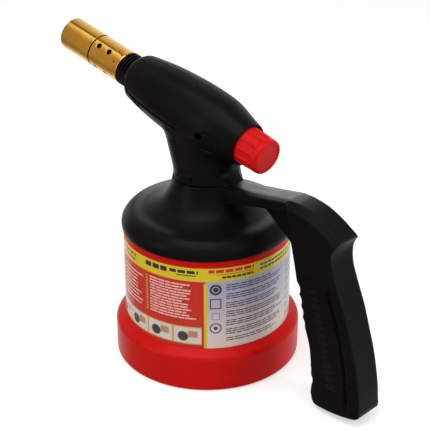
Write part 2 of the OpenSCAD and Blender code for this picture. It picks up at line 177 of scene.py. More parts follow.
class Section:
    """Signed distance to a closed outline in a plane, worked out on a grid and read between its points."""

    def __init__(self, outline, margin=8.0, step=0.12):
        points = np.array(outline, float)
        self.low, self.step = points.min(0) - margin, step
        high = points.max(0) + margin
        x = np.arange(self.low[0], high[0], step)[:, None]
        y = np.arange(self.low[1], high[1], step)[None, :]
        nearest = np.full((x.size, y.size), 1e12)
        inside = np.zeros(nearest.shape, bool)
        for (x0, y0), (x1, y1) in zip(points, np.roll(points, -1, 0)):
            dx, dy = x1 - x0, y1 - y0
            if dx == 0 and dy == 0:
                continue
            t = np.clip(((x - x0) * dx + (y - y0) * dy) / (dx * dx + dy * dy), 0, 1)
            nearest = np.minimum(nearest, (x - x0 - t * dx) ** 2 + (y - y0 - t * dy) ** 2)
            if dy != 0:
                inside ^= ((y0 > y) != (y1 > y)) & (x < x0 + (y - y0) * dx / dy)
        self.table = (np.sqrt(nearest) * np.where(inside, -1, 1)).astype(np.float32)

    def __call__(self, x, y):
        count = np.array(self.table.shape) - 1.001
        gx, gy = (x - self.low[0]) / self.step, (y - self.low[1]) / self.step
        cx, cy = np.clip(gx, 0, count[0]), np.clip(gy, 0, count[1])
        i, j = cx.astype(np.int32), cy.astype(np.int32)
        fx, fy = cx - i, cy - j
        t = self.table
        lower = t[i, j] * (1 - fx) + t[i + 1, j] * fx
        upper = t[i, j + 1] * (1 - fx) + t[i + 1, j + 1] * fx
        return lower * (1 - fy) + upper * fy + np.hypot(gx - cx, gy - cy) * self.step


def on_axis(x, y, z):
    """Station, distance towards the underside and radius about the tilted axis."""
    u = (x - CROSSING[0]) * AXIS[0] + (z - CROSSING[2]) * AXIS[2]
    down = (x - CROSSING[0]) * UNDER[0] + (z - CROSSING[2]) * UNDER[2]
    return u, down, np.hypot(down, y)


def slab(value, low, high):
    """Distance to the space where value lies between low and high."""
    return np.abs(value - (low + high) / 2) - (high - low) / 2


def extruded(flat, width, edge):
    """A flat distance extruded to a width given as distance from its faces, with its edges rounded."""
    a, b = flat + edge, width + edge
    return np.minimum(np.maximum(a, b), 0) + np.hypot(np.maximum(a, 0), np.maximum(b, 0)) - edge


# ---- from fields and outlines to meshes


def surface_mesh(field, low, high, step):
    """Points, quads and normals of the surface where the field is zero: one point in each cell it crosses."""
    low = np.array(low, float)
    counts = np.ceil((np.array(high, float) - low) / step).astype(int) + 1
    x, y, z = (low[a] + step * np.arange(counts[a]) for a in range(3))
    values = np.empty(tuple(counts), np.float32)
    for start in range(0, counts[0], 24):
        part = slice(start, min(start + 24, counts[0]))
        values[part] = field(x[part, None, None], y[None, :, None], z[None, None, :])
    inside = values < 0

    # Each grid edge with one end inside gives a quad between the four cells round it
    rings, crossings = [], []
    weights = np.array([1, counts[0], counts[0] * counts[1]])
    for a in range(3):
        b, c = (a + 1) % 3, (a + 2) % 3
        first = [slice(None)] * 3
        second = [slice(None)] * 3
        first[a], second[a] = slice(0, -1), slice(1, None)
        edges = np.argwhere(inside[tuple(first)] != inside[tuple(second)])
        following = edges.copy()
        following[:, a] += 1
        v0, v1 = values[tuple(edges.T)], values[tuple(following.T)]
        crossing = edges.astype(float)
        crossing[:, a] += v0 / (v0 - v1)
        cells = np.repeat(edges[:, None, :], 4, 1)
        cells[:, 1:3, b] -= 1
        cells[:, 2:4, c] -= 1
        ring = cells @ weights
        ring[v0 > 0] = ring[v0 > 0][:, ::-1]
        rings.append(ring)
        crossings.append(crossing)
    rings, crossings = np.concatenate(rings), np.concatenate(crossings)
    _, index = np.unique(rings, return_inverse=True)
    quads = index.reshape(-1, 4)
    corners = quads.ravel()
    share = np.bincount(corners)
    middles = [np.bincount(corners, np.repeat(crossings[:, k], 4)) / share for k in range(3)]
    points = low + np.stack(middles, 1) * step

    # The points move onto the surface itself
    for _ in range(4):
        value, slope = slopes(field, points, 0.08)
        move = value[:, None] * slope / np.maximum((slope**2).sum(1), 0.2)[:, None]
        length = np.linalg.norm(move, axis=1)
        points -= 0.8 * move * np.minimum(1, 0.4 * step / np.maximum(length, 1e-9))[:, None]
    normals = slopes(field, points, 0.2)[1]
    return points, quads, normals / np.linalg.norm(normals, axis=1)[:, None]


def slopes(field, points, reach):
    """The field's value and slope at each point."""
    slope = np.empty_like(points)
    for k in range(3):
        step = np.zeros(3)
        step[k] = reach
        ahead, behind = points + step, points - step
        slope[:, k] = (field(*ahead.T) - field(*behind.T)) / (2 * reach)
    return field(*points.T), slope


def lathe_mesh(points, normals, segments=160):
    """A closed outline of (radius, height) points turned about +Z."""
    angle = np.arange(segments) * 2 * math.pi / segments
    c, s = np.cos(angle)[:, None], np.sin(angle)[:, None]
    n = len(points)

    def turned(p):
        out, up = p[None, :, 0], np.broadcast_to(p[None, :, 1], (segments, n))
        return np.stack([out * c, out * s, up], 2)

    i, k = np.meshgrid(np.arange(segments), np.arange(n), indexing="ij")
    j, m = (i + 1) % segments, (k + 1) % n
    quads = np.stack([i * n + k, j * n + k, j * n + m, i * n + m], 2).reshape(-1, 4)
    return turned(points).reshape(-1, 3), quads, turned(normals).reshape(-1, 3)


def along_axis(points, quads, normals):
    """A mesh built in (underside, y, station), put in its place in the frame."""
    turn = np.stack([UNDER, [0.0, 1.0, 0.0], AXIS])
    return points @ turn + CROSSING, quads, normals @ turn


def joined(*parts):
    """Several (points, quads, normals) as one."""
    points = np.concatenate([p for p, _, _ in parts])
    normals = np.concatenate([n for _, _, n in parts])
    starts = np.cumsum([0] + [len(p) for p, _, _ in parts])
    quads = np.concatenate([q + start for (_, q, _), start in zip(parts, starts)])
    return points, quads, normals


def mirrored(points, quads, normals):
    """The same mesh on the other side of the plane y = 0."""
    flip = np.array([1, -1, 1])
    return points * flip, quads[:, ::-1], normals * flip


def piece(name, mesh, slot_name, body, node):
    """An object from (points, quads, normals), in place of a CAD node, on the body, if one is named."""
    points, quads, normals = mesh
    data = bpy.data.meshes.new(name)
    data.vertices.add(len(points))
    data.vertices.foreach_set("co", (points * MM).astype(np.float32).ravel())
    data.loops.add(quads.size)
    data.loops.foreach_set("vertex_index", quads.astype(np.int32).ravel())
    data.polygons.add(len(quads))
    data.polygons.foreach_set("loop_start", np.arange(0, quads.size, 4, dtype=np.int32))
    data.update(calc_edges=True)
    data.validate()
    data.shade_smooth()
    data.normals_split_custom_set_from_vertices(normals.astype(np.float32))
    data.materials.append(MATERIALS[slot_name])
    made = bpy.data.objects.new(name, data)
    bpy.context.scene.collection.objects.link(made)
    if body:
        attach(made, body)
    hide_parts(node)
    return made


# ---- materials


class Nodes:
    """A node tree, with short calls for the nodes used here."""

    def __init__(self, tree):
        self.tree = tree

    def node(self, kind, **settings):
        made = self.tree.nodes.new(kind)
        for key, value in settings.items():
            setattr(made, key, value)
        return made

    def put(self, node, socket, value):
        """Links or sets one input, given by name or number."""
        target = node.inputs[socket]
        if isinstance(value, Number):
            value = value.socket
        if isinstance(value, bpy.types.NodeSocket):
            self.tree.links.new(value, target)
        elif isinstance(value, (tuple, list)) and target.type == "RGBA":
            target.default_value = (*value[:3], 1)
        else:
            target.default_value = value

    def math(self, operation, *values):
        made = self.node("ShaderNodeMath", operation=operation)
        for k, value in enumerate(values):
            self.put(made, k, value)
        return Number(self, made.outputs[0])

    def along(self, place, direction):
        """How far a place lies in a direction."""
        made = self.node("ShaderNodeVectorMath", operation="DOT_PRODUCT")
        self.put(made, 0, place)
        self.put(made, 1, direction)
        return Number(self, made.outputs["Value"])

    def mix(self, share, a, b):
        """Colour a where share is 0, b where it is 1."""
        made = self.node("ShaderNodeMix", data_type="RGBA")
        self.put(made, 0, share)
        self.put(made, 6, a)
        self.put(made, 7, b)
        return made.outputs[2]

    def spread(self, value, low, high, to_low=0.0, to_high=1.0):
        """A value that goes from to_low to to_high as the given one goes from low to high."""
        made = self.node("ShaderNodeMapRange", clamp=True)
        for k, v in enumerate((value, low, high, to_low, to_high)):
            self.put(made, k, v)
        return Number(self, made.outputs[0])


class Shader(Nodes):
    """A new material: its surface, and patterns that stay fixed to the piece."""

    def __init__(self, name, **settings):
        self.material = bpy.data.materials.new(name)
        self.material.use_nodes = True
        super().__init__(self.material.node_tree)
        self.surface = next(n for n in self.tree.nodes if n.type == "BSDF_PRINCIPLED")
        self.place = self.node("ShaderNodeTexCoord").outputs["Object"]
        for socket, value in settings.items():
            self.put(self.surface, socket.replace("_", " "), value)

    def noise(self, scale, detail=3.0, roughness=0.5, stretch=None):
        made = self.node("ShaderNodeTexNoise")
        where = self.place
        if stretch is not None:
            squeezed = self.node("ShaderNodeVectorMath", operation="MULTIPLY")
            self.put(squeezed, 0, where)
            self.put(squeezed, 1, stretch)
            where = squeezed.outputs[0]
        self.put(made, "Vector", where)
        self.put(made, "Scale", scale)
        self.put(made, "Detail", detail)
        self.put(made, "Roughness", roughness)
        return Number(self, made.outputs["Fac"])

    def cells(self, x, y, seed=0.0):
        """A random number for each whole (x, y)."""
        joined_up = self.node("ShaderNodeCombineXYZ")
        self.put(joined_up, 0, x)
        self.put(joined_up, 1, y)
        self.put(joined_up, 2, seed)
        made = self.node("ShaderNodeTexWhiteNoise", noise_dimensions="3D")
        self.put(made, "Vector", joined_up.outputs[0])
        return Number(self, made.outputs["Value"])

    def edges(self, radius_mm, low=0.02, high=0.25):
        """1 along sharp edges, 0 elsewhere."""
        soft = self.node("ShaderNodeBevel", samples=4)
        self.put(soft, "Radius", radius_mm * MM)
        sharp = self.node("ShaderNodeNewGeometry").outputs["Normal"]
        return self.spread(1 - self.along(soft.outputs[0], sharp), low, high)

    def bump(self, height, depth_mm):
        made = self.node("ShaderNodeBump")
        self.put(made, "Strength", 1.0)
        self.put(made, "Distance", depth_mm * MM)
        self.put(made, "Height", height)
        self.put(self.surface, "Normal", made.outputs[0])


class Number:
    """A value in a node tree that takes part in sums."""

    def __init__(self, shader, socket):
        self.shader, self.socket = shader, socket

    def __add__(self, other):
        return self.shader.math("ADD", self, other)

    def __sub__(self, other):
        return self.shader.math("SUBTRACT", self, other)

    def __rsub__(self, other):
        return self.shader.math("SUBTRACT", other, self)

    def __mul__(self, other):
        return self.shader.math("MULTIPLY", self, other)

    def __truediv__(self, other):
        return self.shader.math("DIVIDE", self, other)

    __radd__, __rmul__ = __add__, __mul__

    def floor(self):
        return self.shader.math("FLOOR", self)

    def modulo(self, other):
        return self.shader.math("FLOORED_MODULO", self, other)

    def size(self):
        return self.shader.math("ABSOLUTE", self)

    def most(self, other):
        return self.shader.math("MAXIMUM", self, other)

    def above(self, limit, soft=0.06):
        return self.shader.spread(self, limit - soft, limit + soft)

    def below(self, limit, soft=0.06):
        return self.shader.spread(self, limit - soft, limit + soft, 1, 0)

    def between(self, low, high, soft=0.06):
        return self.above(low, soft) * self.below(high, soft)


def plastic(name, colour, tint, roughness, grain_mm, depth_mm, wear, coat=0.0, gloss=0.5):
    """Moulded plastic: fine grain, slow changes of shade and gloss, rubbed edges and a few handling marks."""
    s = Shader(name)
    cloud = s.noise(28, 4, 0.6)
    smear = s.noise(90, 5, 0.65, stretch=(1.0, 1.0, 0.25))
    edge = s.edges(0.6)
    speck = s.noise(900, 2).above(0.71, 0.02)
    base = s.mix(s.spread(cloud, 0.3, 0.7), colour, tint)
    base = s.mix(edge * wear, base, [min(1, 2.2 * c + 0.02) for c in colour])
    base = s.mix(speck * 0.12, base, [min(1, 3 * c + 0.03) for c in colour])
    s.put(s.surface, "Base Color", base)
    dull = s.spread(smear, 0.25, 0.8, roughness - 0.07, roughness + 0.09)
    s.put(s.surface, "Roughness", dull - edge * 0.08)
    s.put(s.surface, "Specular IOR Level", gloss)
    s.put(s.surface, "Specular Tint", (0.86, 0.90, 1.0))
    s.put(s.surface, "Coat Weight", coat)
    s.put(s.surface, "Coat Roughness", 0.25)
    grain = s.noise(1000 / grain_mm, 2, 0.6)
    scratch = s.noise(260, 3, 0.7, stretch=(1.0, 1.0, 0.06)).above(0.66, 0.03)
    s.bump(grain - 0.35 * scratch, depth_mm)
    return s.material


def offset(s, direction):
    """How far a place on a piece at rest lies from the crossing in a direction, in millimetres."""
    return s.along(s.place, tuple(direction)) / MM - float(CROSSING @ direction)


def from_axis(s):
    """Distance from the tilted axis, in millimetres, for a piece at rest."""
    down, aside = offset(s, UNDER), offset(s, np.array([0.0, 1.0, 0.0]))
    return s.math("SQRT", down * down + aside * aside)


def turned_metal(name, colour, dark, roughness, ring_mm=0.25, depth_mm=0.004, heat=None, painted_shade_r=0.0):
    """Turned metal: fine rings about the tilted axis, tarnish in clouds, heat colours near a hot end, and, if
    painted_shade_r is given, painted shade in the bore and at the tubes' joint.
    """
    s = Shader(name, Metallic=1.0)
    u = offset(s, AXIS)
    rings = s.node("ShaderNodeTexNoise", noise_dimensions="1D")
    s.put(rings, "W", u)
    s.put(rings, "Scale", 1 / ring_mm)
    rings = Number(s, rings.outputs["Fac"])
    cloud = s.noise(130, 5, 0.62)
    spots = s.noise(700, 3).above(0.68, 0.05)
    base = s.mix(s.spread(cloud, 0.42, 0.8), colour, dark)
    base = s.mix(spots * 0.25, base, [0.45 * c for c in dark])
    if heat is not None:
        warm = s.spread(u + 6 * (cloud - 0.5), heat - 16, heat)
        base = s.mix(warm * 0.35, base, (0.62, 0.30, 0.10))
    dull = spots * 0.15
    if painted_shade_r:
        # Painted shade: the bore and a band at the joint between the two tubes are painted near black and made
        # duller, standing in for the shade that falls there
        joint = u.between(FLAME_START - 0.85, FLAME_START + 0.12, 0.08)
        painted_shade = from_axis(s).below(painted_shade_r, 0.08).most(joint * 0.92)
        base = s.mix(painted_shade, base, (0.012, 0.009, 0.007))
        dull = dull + painted_shade * 0.6
    s.put(s.surface, "Base Color", base)
    s.put(s.surface, "Roughness", s.spread(cloud, 0.3, 0.8, roughness * 0.8, roughness * 1.7) + dull)
    s.bump(rings + 0.3 * s.noise(500, 2), depth_mm)
    return s.material


def plain_metal(name, colour, roughness, brush=(1.0, 1.0, 12.0)):
    """Plated or drawn metal with brush lines and dull patches."""
    s = Shader(name, Metallic=1.0)
    lines = s.noise(900, 3, 0.7, stretch=brush)
    cloud = s.noise(120, 4, 0.6)
    s.put(s.surface, "Base Color", s.mix(s.spread(cloud, 0.3, 0.75), colour, [0.72 * c for c in colour]))
    s.put(s.surface, "Roughness", s.spread(lines, 0.2, 0.8, roughness - 0.08, roughness + 0.12))
    s.bump(lines, 0.01)
    return s.material


def porous(name, colour):
    """Sintered bronze: small packed grains."""
    s = Shader(name, Metallic=0.9, Roughness=0.55)
    grains = s.node("ShaderNodeTexVoronoi")
    s.put(grains, "Vector", s.place)
    s.put(grains, "Scale", 3500)
    grain = Number(s, grains.outputs["Distance"])
    s.put(s.surface, "Base Color", s.mix(s.spread(grain, 0.1, 0.6), colour, [0.35 * c for c in colour]))
    s.bump(1 - grain, 0.12)
    return s.material


def soft_matter(name, colour, tint, roughness, scale=1600, depth_mm=0.02, subsurface=0.0):
    """Rubber, ceramic and natural plastic: a fine grain and a slow change of shade."""
    s = Shader(name)
    s.put(s.surface, "Base Color", s.mix(s.spread(s.noise(60, 4), 0.3, 0.7), colour, tint))
    s.put(s.surface, "Roughness", s.spread(s.noise(240, 3), 0.2, 0.8, roughness - 0.08, roughness + 0.08))
    s.put(s.surface, "Subsurface Weight", subsurface)
    s.put(s.surface, "Subsurface Scale", 0.001)
    s.bump(s.noise(scale, 2), depth_mm)
    return s.material


# The label: angles in degrees about the cup, heights and lengths in millimetres
PANEL_TURN, DIVIDER_ANGLE, DIVIDER_HALF, HEADER_Z = 180.0, 133.1, 0.85, 67.1
LABEL_YELLOW = (0.68, 0.52, 0.012)
LABEL_RED = (0.56, 0.022, 0.013)
LABEL_LILAC = (0.34, 0.34, 0.52)
LABEL_CREAM = (0.74, 0.63, 0.58)
LABEL_OCHRE = (0.62, 0.36, 0.07)
INK = (0.03, 0.028, 0.03)
PALE_INK = (0.82, 0.55, 0.50)

# Blocks of ruled bars: from and to angle, lowest, highest, pitch, seed, rows in a group, half width, ink
TEXT_BLOCKS = (
    (93, 128.5, 42.6, 65.4, 1.75, 3.0, 0, 0.23, PALE_INK),
    (62, 87.5, 42.6, 63.6, 2.3, 5.0, 0, 0.16, PALE_INK),
    (146.7, 196, 28.4, 65.2, 1.4, 7.0, 4, 0.23, INK),
    (201, 218, 28.4, 65.2, 1.4, 9.0, 4, 0.23, INK),
)
BULLET_ANGLE, BULLET_TOP, BULLET_PITCH = 90.3, 65.4, 1.75
PICTURE_TURN, PICTURES_FROM, PICTURES_TO, PICTURE_LOW, PICTURE_HIGH = 20.2, 47, 131, 26.9, 38.2

# Marks beside the divider: height, outer and inner half width, square or round, ink
MARK_ANGLE = 139.8
MARKS = (
    (62.1, 3.35, -1.0, False, INK),
    (62.1, 2.1, 1.5, False, LABEL_LILAC),
    (53.2, 3.2, 2.55, True, INK),
    (45.2, 2.2, 1.85, True, (0.16, 0.15, 0.17)),
    (37.7, 3.35, 2.65, False, INK),
    (37.7, 1.1, -1.0, False, INK),
)

# Bars in the header: from angle, to angle, lowest, highest, ink
HEADER_BARS = (
    (88.7, 107, 70.9, 73.8, INK),
    (109, 128.5, 71.6, 73.6, INK),
    (113.5, 127, 70.2, 70.8, INK),
    (135.2, 166.3, 72.4, 74.4, LABEL_RED),
    (141, 166.3, 71.2, 71.6, LABEL_RED),
    (144, 165.8, 68.8, 70.2, INK),
    (171, 215, 72.0, 73.2, INK),
    (171, 215, 69.6, 70.8, INK),
    (58, 79, 71.6, 73.4, LABEL_RED),
    (60, 79, 69.2, 70.3, INK),
)


def ruled_rows(s, across, height, left, right, low, high, pitch, seed, group, half):
    """Rows of short bars of uneven length, in place of text; the last row of each group is left empty."""
    row = ((high - height) / pitch).floor()
    inside = ((high - height) / pitch).modulo(1.0).between(0.5 - half, 0.5 + half, 0.12)
    length = s.cells(row, 0.0, seed) * 0.34 + 0.66
    end = left + (right - left) * length
    word = (across + s.cells(row, 3.0, seed) * 4) / 4.6
    gap = (word.modulo(1.0) - s.cells(word.floor(), row, seed) * 0.45).size().above(0.05, 0.03)
    rows = inside * gap * across.above(left) * (end - across).above(0.0) * height.between(low, high)
    if group:
        rows = rows * row.modulo(float(group)).below(group - 1.5)
    return rows


def label_film():
    """A printed film in panels: plain bands, ruled bars, dots and squares stand in for words and pictures."""
    s = Shader("label_film", Specular_IOR_Level=0.25, Coat_Weight=0.12, Coat_Roughness=0.06)
    split = s.node("ShaderNodeSeparateXYZ")
    s.put(split, 0, s.place)
    x, y, z = (Number(s, split.outputs[k]) / MM for k in range(3))
    turn = s.math("DEGREES", s.math("ARCTAN2", y, x))
    degree = math.radians(1) * LABEL_R
    across = ((turn - DIVIDER_ANGLE + PANEL_TURN / 2).modulo(PANEL_TURN) - PANEL_TURN / 2) * degree
    cloud = s.noise(40, 3)
    paper = s.mix(s.spread(z, 28, 64), LABEL_CREAM, LABEL_LILAC)
    colour = s.mix(across.above(0), LABEL_RED, s.mix(cloud * 0.25, paper, LABEL_CREAM))

    def arc(angle):
        return (angle - DIVIDER_ANGLE) * degree

    def length(a, b):
        return s.math("SQRT", a * a + b * b)

    def paint(mask, ink):
        nonlocal colour
        colour = s.mix(mask, colour, ink)

    for left, right, low, high, pitch, seed, group, half, ink in TEXT_BLOCKS:
        paint(ruled_rows(s, across, z, arc(left), arc(right), low, high, pitch, seed, group, half), ink)
    bullet = ((BULLET_TOP - z) / BULLET_PITCH).modulo(1.0) - 0.5
    dot = (across - arc(BULLET_ANGLE)).size().most(bullet.size() * BULLET_PITCH)
    paint(dot.below(0.62, 0.1) * z.between(42.8, BULLET_TOP), (0.42, 0.36, 0.02))

    # A row of framed plain pictures at the foot of the red panel: a dark disc and a tan block in each
    width = PICTURE_TURN * degree
    side = (((across - arc(PICTURES_TO)) / width).modulo(1.0) - 0.5) * width
    strip = z.between(PICTURE_LOW, PICTURE_HIGH) * across.between(arc(PICTURES_FROM), arc(PICTURES_TO - 0.4))
    paint(strip, LABEL_OCHRE)
    window = side.size().below(7.9, 0.1) * z.between(PICTURE_LOW + 0.7, PICTURE_HIGH - 0.7) * strip
    paint(window, s.mix(cloud, (0.58, 0.52, 0.46), (0.74, 0.70, 0.66)))
    paint(length(side + 2.6, z - 31.8).below(3.1, 0.15) * window, (0.05, 0.05, 0.05))
    block = (side - 3.2).size().most((z - 33.5).size() * 1.3)
    paint(block.below(2.7, 0.15) * window, (0.50, 0.24, 0.14))

    for height, outer, inner, square, ink in MARKS:
        dx, dz = across - arc(MARK_ANGLE), z - height
        size = dx.size().most(dz.size()) if square else length(dx, dz)
        paint(size.between(inner, outer, 0.12), ink)

    paint(across.size().below(DIVIDER_HALF, 0.08) * z.below(HEADER_Z - 1.2), LABEL_YELLOW)
    paint(z.above(HEADER_Z, 0.08), LABEL_YELLOW)
    header = z.above(HEADER_Z + 0.4)
    for left, right, low, high, ink in HEADER_BARS:
        beat = 2.9 if high - low < 1.6 else 5.3
        teeth = (across / beat).modulo(1.0).between(0.08, 0.92, 0.03) if high - low > 0.8 else 1.0
        paint(across.between(arc(left), arc(right)) * z.between(low, high) * header * teeth, ink)

    shade = s.noise(55, 4).above(0.5, 0.3)
    s.put(s.surface, "Base Color", s.mix(shade * 0.06, colour, (0.3, 0.26, 0.22)))
    rub = s.noise(420, 3, 0.7, stretch=(1.0, 1.0, 0.2)).above(0.64, 0.04)
    s.put(s.surface, "Roughness", 0.2 + rub * 0.14)
    s.bump(s.noise(70, 3) + 0.1 * s.noise(1500, 2), 0.05)
    return s.material


BLACK = (0.0032, 0.0029, 0.0033)
BLACK_TINT = (0.0062, 0.0055, 0.0062)
CUP_RED = (0.60, 0.006, 0.003)
CUP_TINT = (0.52, 0.004, 0.002)
KNOB_RED = (0.62, 0.006, 0.007)
KNOB_TINT = (0.54, 0.004, 0.005)
BRASS = (0.92, 0.54, 0.10)
BRASS_DARK = (0.80, 0.40, 0.055)

MATERIALS = {
    name: plastic(name, BLACK, BLACK_TINT, 0.33, 0.35, 0.04, 0.2, gloss=0.06)
    for name in ("black_plastic", "grip_plastic")
}
MATERIALS.update({
    "cup_plastic": plastic("cup_plastic", CUP_RED, CUP_TINT, 0.32, 0.5, 0.02, 0.1, gloss=0.1),
    "knob_plastic": plastic("knob_plastic", KNOB_RED, KNOB_TINT, 0.32, 0.4, 0.02, 0.12, gloss=0.08),
    "label_film": label_film(),
    "can_steel": plastic("can_steel", (0.06, 0.16, 0.38), (0.05, 0.12, 0.30), 0.3, 1.2, 0.01, 0.5, coat=0.6),
    # The polished brass has painted shade, near black, inside the tubes' bore and at their joint
    "brass_polished": turned_metal("brass_polished", BRASS, BRASS_DARK, 0.12, heat=FLAME_END, painted_shade_r=9.42),
    "brass_turned": turned_metal("brass_turned", (0.72, 0.46, 0.16), BRASS_DARK, 0.3, 0.4, 0.02),
    "steel": plain_metal("steel", (0.56, 0.56, 0.57), 0.32),
    "seal_rubber": soft_matter("seal_rubber", (0.02, 0.02, 0.021), (0.03, 0.03, 0.03), 0.7),
    "sinter_bronze": porous("sinter_bronze", (0.44, 0.27, 0.14)),
    "natural_plastic": soft_matter(
        "natural_plastic", (0.74, 0.71, 0.62), (0.66, 0.62, 0.52), 0.4, subsurface=0.2
    ),
    "ceramic": soft_matter("ceramic", (0.80, 0.79, 0.74), (0.70, 0.68, 0.62), 0.25, 900, 0.01),
    "lead_insulation": soft_matter("lead_insulation", (0.72, 0.71, 0.70), (0.62, 0.60, 0.58), 0.5),
})


# ---- cup and label

# Foot's height, the slope above it, its wall, the cup's floor; inside radius and lip; ribs and bayonet lugs
FOOT_H, SHOULDER, FOOT_WALL, FLOOR = 21.6, 3.0, 2.5, 2.8
BORE_R, LIP_R = 45.5, 46.4
CENTRE_R = 0.02
FOOT_RIBS, LUGS = 12, 3
LUG_Z, LUG_R, LUG_IN = 82.0, 2.0, 43.4


def cup_outline():
    """Half section of the cup: floor, hollow flared foot, wall and thin lip."""
    inner_foot, web = FOOT_R - FOOT_WALL, FOOT_H - 1
    return rounded([
        (CENTRE_R, 0.0, 0), (CUP_R, 0.0, 0.4), (CUP_R, web, 0.8), (inner_foot, web, 0.8),
        (inner_foot, 0.0, 0.5), (FOOT_R, 0.0, 1.6), (FOOT_R, FOOT_H - 0.6, 3.6),
        (CUP_R + 1.7, FOOT_H + 2.0, 2.0), (CUP_R, FOOT_H + SHOULDER, 0.3), (CUP_R, RIM_Z, 0.35),
        (LIP_R, RIM_Z, 0.15), (LIP_R, LIP_TOP, 0.4), (BORE_R, LIP_TOP, 0.3),
        (BORE_R, FLOOR, 1.5), (CENTRE_R, FLOOR, 0),
    ])


def block(low, high, edge=0.25):
    """A box with rounded edges, as a small field mesh."""
    low, high = np.array(low), np.array(high)
    middle, half = (low + high) / 2, (high - low) / 2

    def field(x, y, z):
        q = [np.abs(v - m) - h + edge for v, m, h in zip((x, y, z), middle, half)]
        outside = np.sqrt(sum(np.maximum(v, 0) ** 2 for v in q))
        return outside + np.minimum(np.maximum(np.maximum(q[0], q[1]), q[2]), 0) - edge

    return surface_mesh(field, low - 0.7, high + 0.7, min(0.5, half.min() / 1.5))


def turned_about_z(mesh, angle):
    """The same mesh turned about the cup's centre line."""
    points, quads, normals = mesh
    c, s = math.cos(angle), math.sin(angle)
    turn = np.array([[c, s, 0], [-s, c, 0], [0, 0, 1]])
    return points @ turn, quads, normals @ turn


def ringed(mesh, count):
    """Copies of a mesh spaced evenly about the cup's centre line."""
    return [turned_about_z(mesh, k * 2 * math.pi / count) for k in range(count)]


def lug_field(x, y, z):
    """A stub inside the lip, which runs in the bell's sloping slots."""
    return smax(np.hypot(y, z - LUG_Z) - LUG_R, slab(x, LUG_IN, LIP_R - 0.4), 0.3)


def make_cup():
    """Cup with ribs under the foot and lugs inside the lip."""
    rib = block((CUP_R - 0.3, -0.8, 1.0), (FOOT_R - FOOT_WALL + 0.3, 0.8, FOOT_H - 0.8))
    lug = surface_mesh(lug_field, (42.8, -2.8, 79.2), (47, 2.8, 84.8), 0.35)
    parts = [lathe_mesh(*cup_outline(), segments=192), *ringed(rib, FOOT_RIBS), *ringed(lug, LUGS)]
    piece("cartridge_cup_body", joined(*parts), "cup_plastic", "cup", "cartridge_cup")


def make_label():
    """The printed sleeve round the cup's wall."""
    low, high, inner = LABEL_LOW[2], LABEL_HIGH[2], CUP_R + 0.01
    outline = rounded([(inner, low, 0), (LABEL_R, low, 0.06), (LABEL_R, high, 0.06), (inner, high, 0)], 3)
    piece("cup_label_film", lathe_mesh(*outline, segments=256), "label_film", "cup", "cup_label")


# ---- bell, arm and handle

BELL_OUTLINE = [
    (BELL_R, BELL_Z), (BELL_R - 0.25, BELL_Z + 5.15), (44.2, 89.4), (35.5, 91.3),
    (27.1, 95.3), (22.4, 101.5), (20.3, 106.5), (19.5, NECK_Z),
]
PLATE_LOW, PLATE_HIGH, COLLAR_BORE_R, STEM_R = 94.5, 98.0, 16.5, 6.0
SPIGOT_R, SPIGOT_BORE_R, SPIGOT_Z, SKIRT_BORE_R = 45.2, 42.8, 72.5, 46.7
BELL_INNER = [
    (COLLAR_BORE_R, NECK_Z), (COLLAR_BORE_R, PLATE_HIGH), (STEM_R + 0.1, PLATE_HIGH),
    (STEM_R + 0.1, PLATE_LOW), (23.5, PLATE_LOW), (26.5, 92), (33, 88.6), (40, 86.4),
    (SPIGOT_BORE_R, 84), (SPIGOT_BORE_R, SPIGOT_Z),
    (SPIGOT_R, SPIGOT_Z), (SPIGOT_R, LIP_TOP + 0.3), (SKIRT_BORE_R, LIP_TOP + 0.3), (SKIRT_BORE_R, BELL_Z),
]

# Side view of arm and handle, as (distance behind the cup's centre line, height)
ARM_TOP = [(15, 110.9), (24, 111.2), (36, 112.3), (49, 114.4), (65.6, 117.2)]
CROWN = [(68.5, 117.3), (73.5, 117.1), (82.8, 115.2), (92.0, 111.2), (100.0, 106.4)]
BEAK = [(101.0, 105.4), (100.9, 103.4), (98.8, 99.8), (97.6, 95.5), (98.6, 88.5)]
REAR = [(102.6, 77.8), (107.6, 66.0), (112.0, 52.8), (116.2, 39.0), (119.5, 23.0), (HANDLE_BACK - 0.05, 9.5)]
FOOT_LINE = [(HANDLE_BACK - 0.4, 7.0), (117.6, 5.2), (106.0, 3.2), (94.0, 2.7), (90.0, 4.2), (88.2, 9.6)]
FRONT = [(88.6, 14.0), (86.5, 35.9), (81.6, 51.5), (77.0, 69.3), (73.6, 84.0), (71.4, 93.2)]
ARM_UNDER = [(69.3, 101.6), (67.8, 109.6), (65.8, 110.9), (52, 108.3), (37, 105.2), (23, 101.0), (15, 98.0)]
GUSSET = [(44.0, 108.0), (48.2, 105.6), (68.3, 90.6), (76, 90.6), (76, 112), (60, 112)]
SEAM = [(95.1, 79.5), (102.4, 60.2), (107.3, 45.2), (110.9, 28.0), (113.0, 10.0)]
ARM_HALF, WEB_HALF, WALL = 8.75, 4.6, 2.7
ARM_FROM_R, SHELL_ONLY_R = 19.0, 17.5

# Where arm turns to crown, and the bevels' slopes and starts, measured from the top line and the middle plane
CROWN_START, ARM_BEVEL, CROWN_BEVEL = 65.2, 4.7, 6.4
ARM_SLOPE, ARM_SLOPE_LENGTH, CROWN_SLOPE = 4.05, 4.17, 0.7071

# Where two pieces look like one, the lower one runs under the upper one by LAP, INSET below its skin
LAP, INSET, CUT = 1.5, 0.04, 0.03
FILLET = 0.3

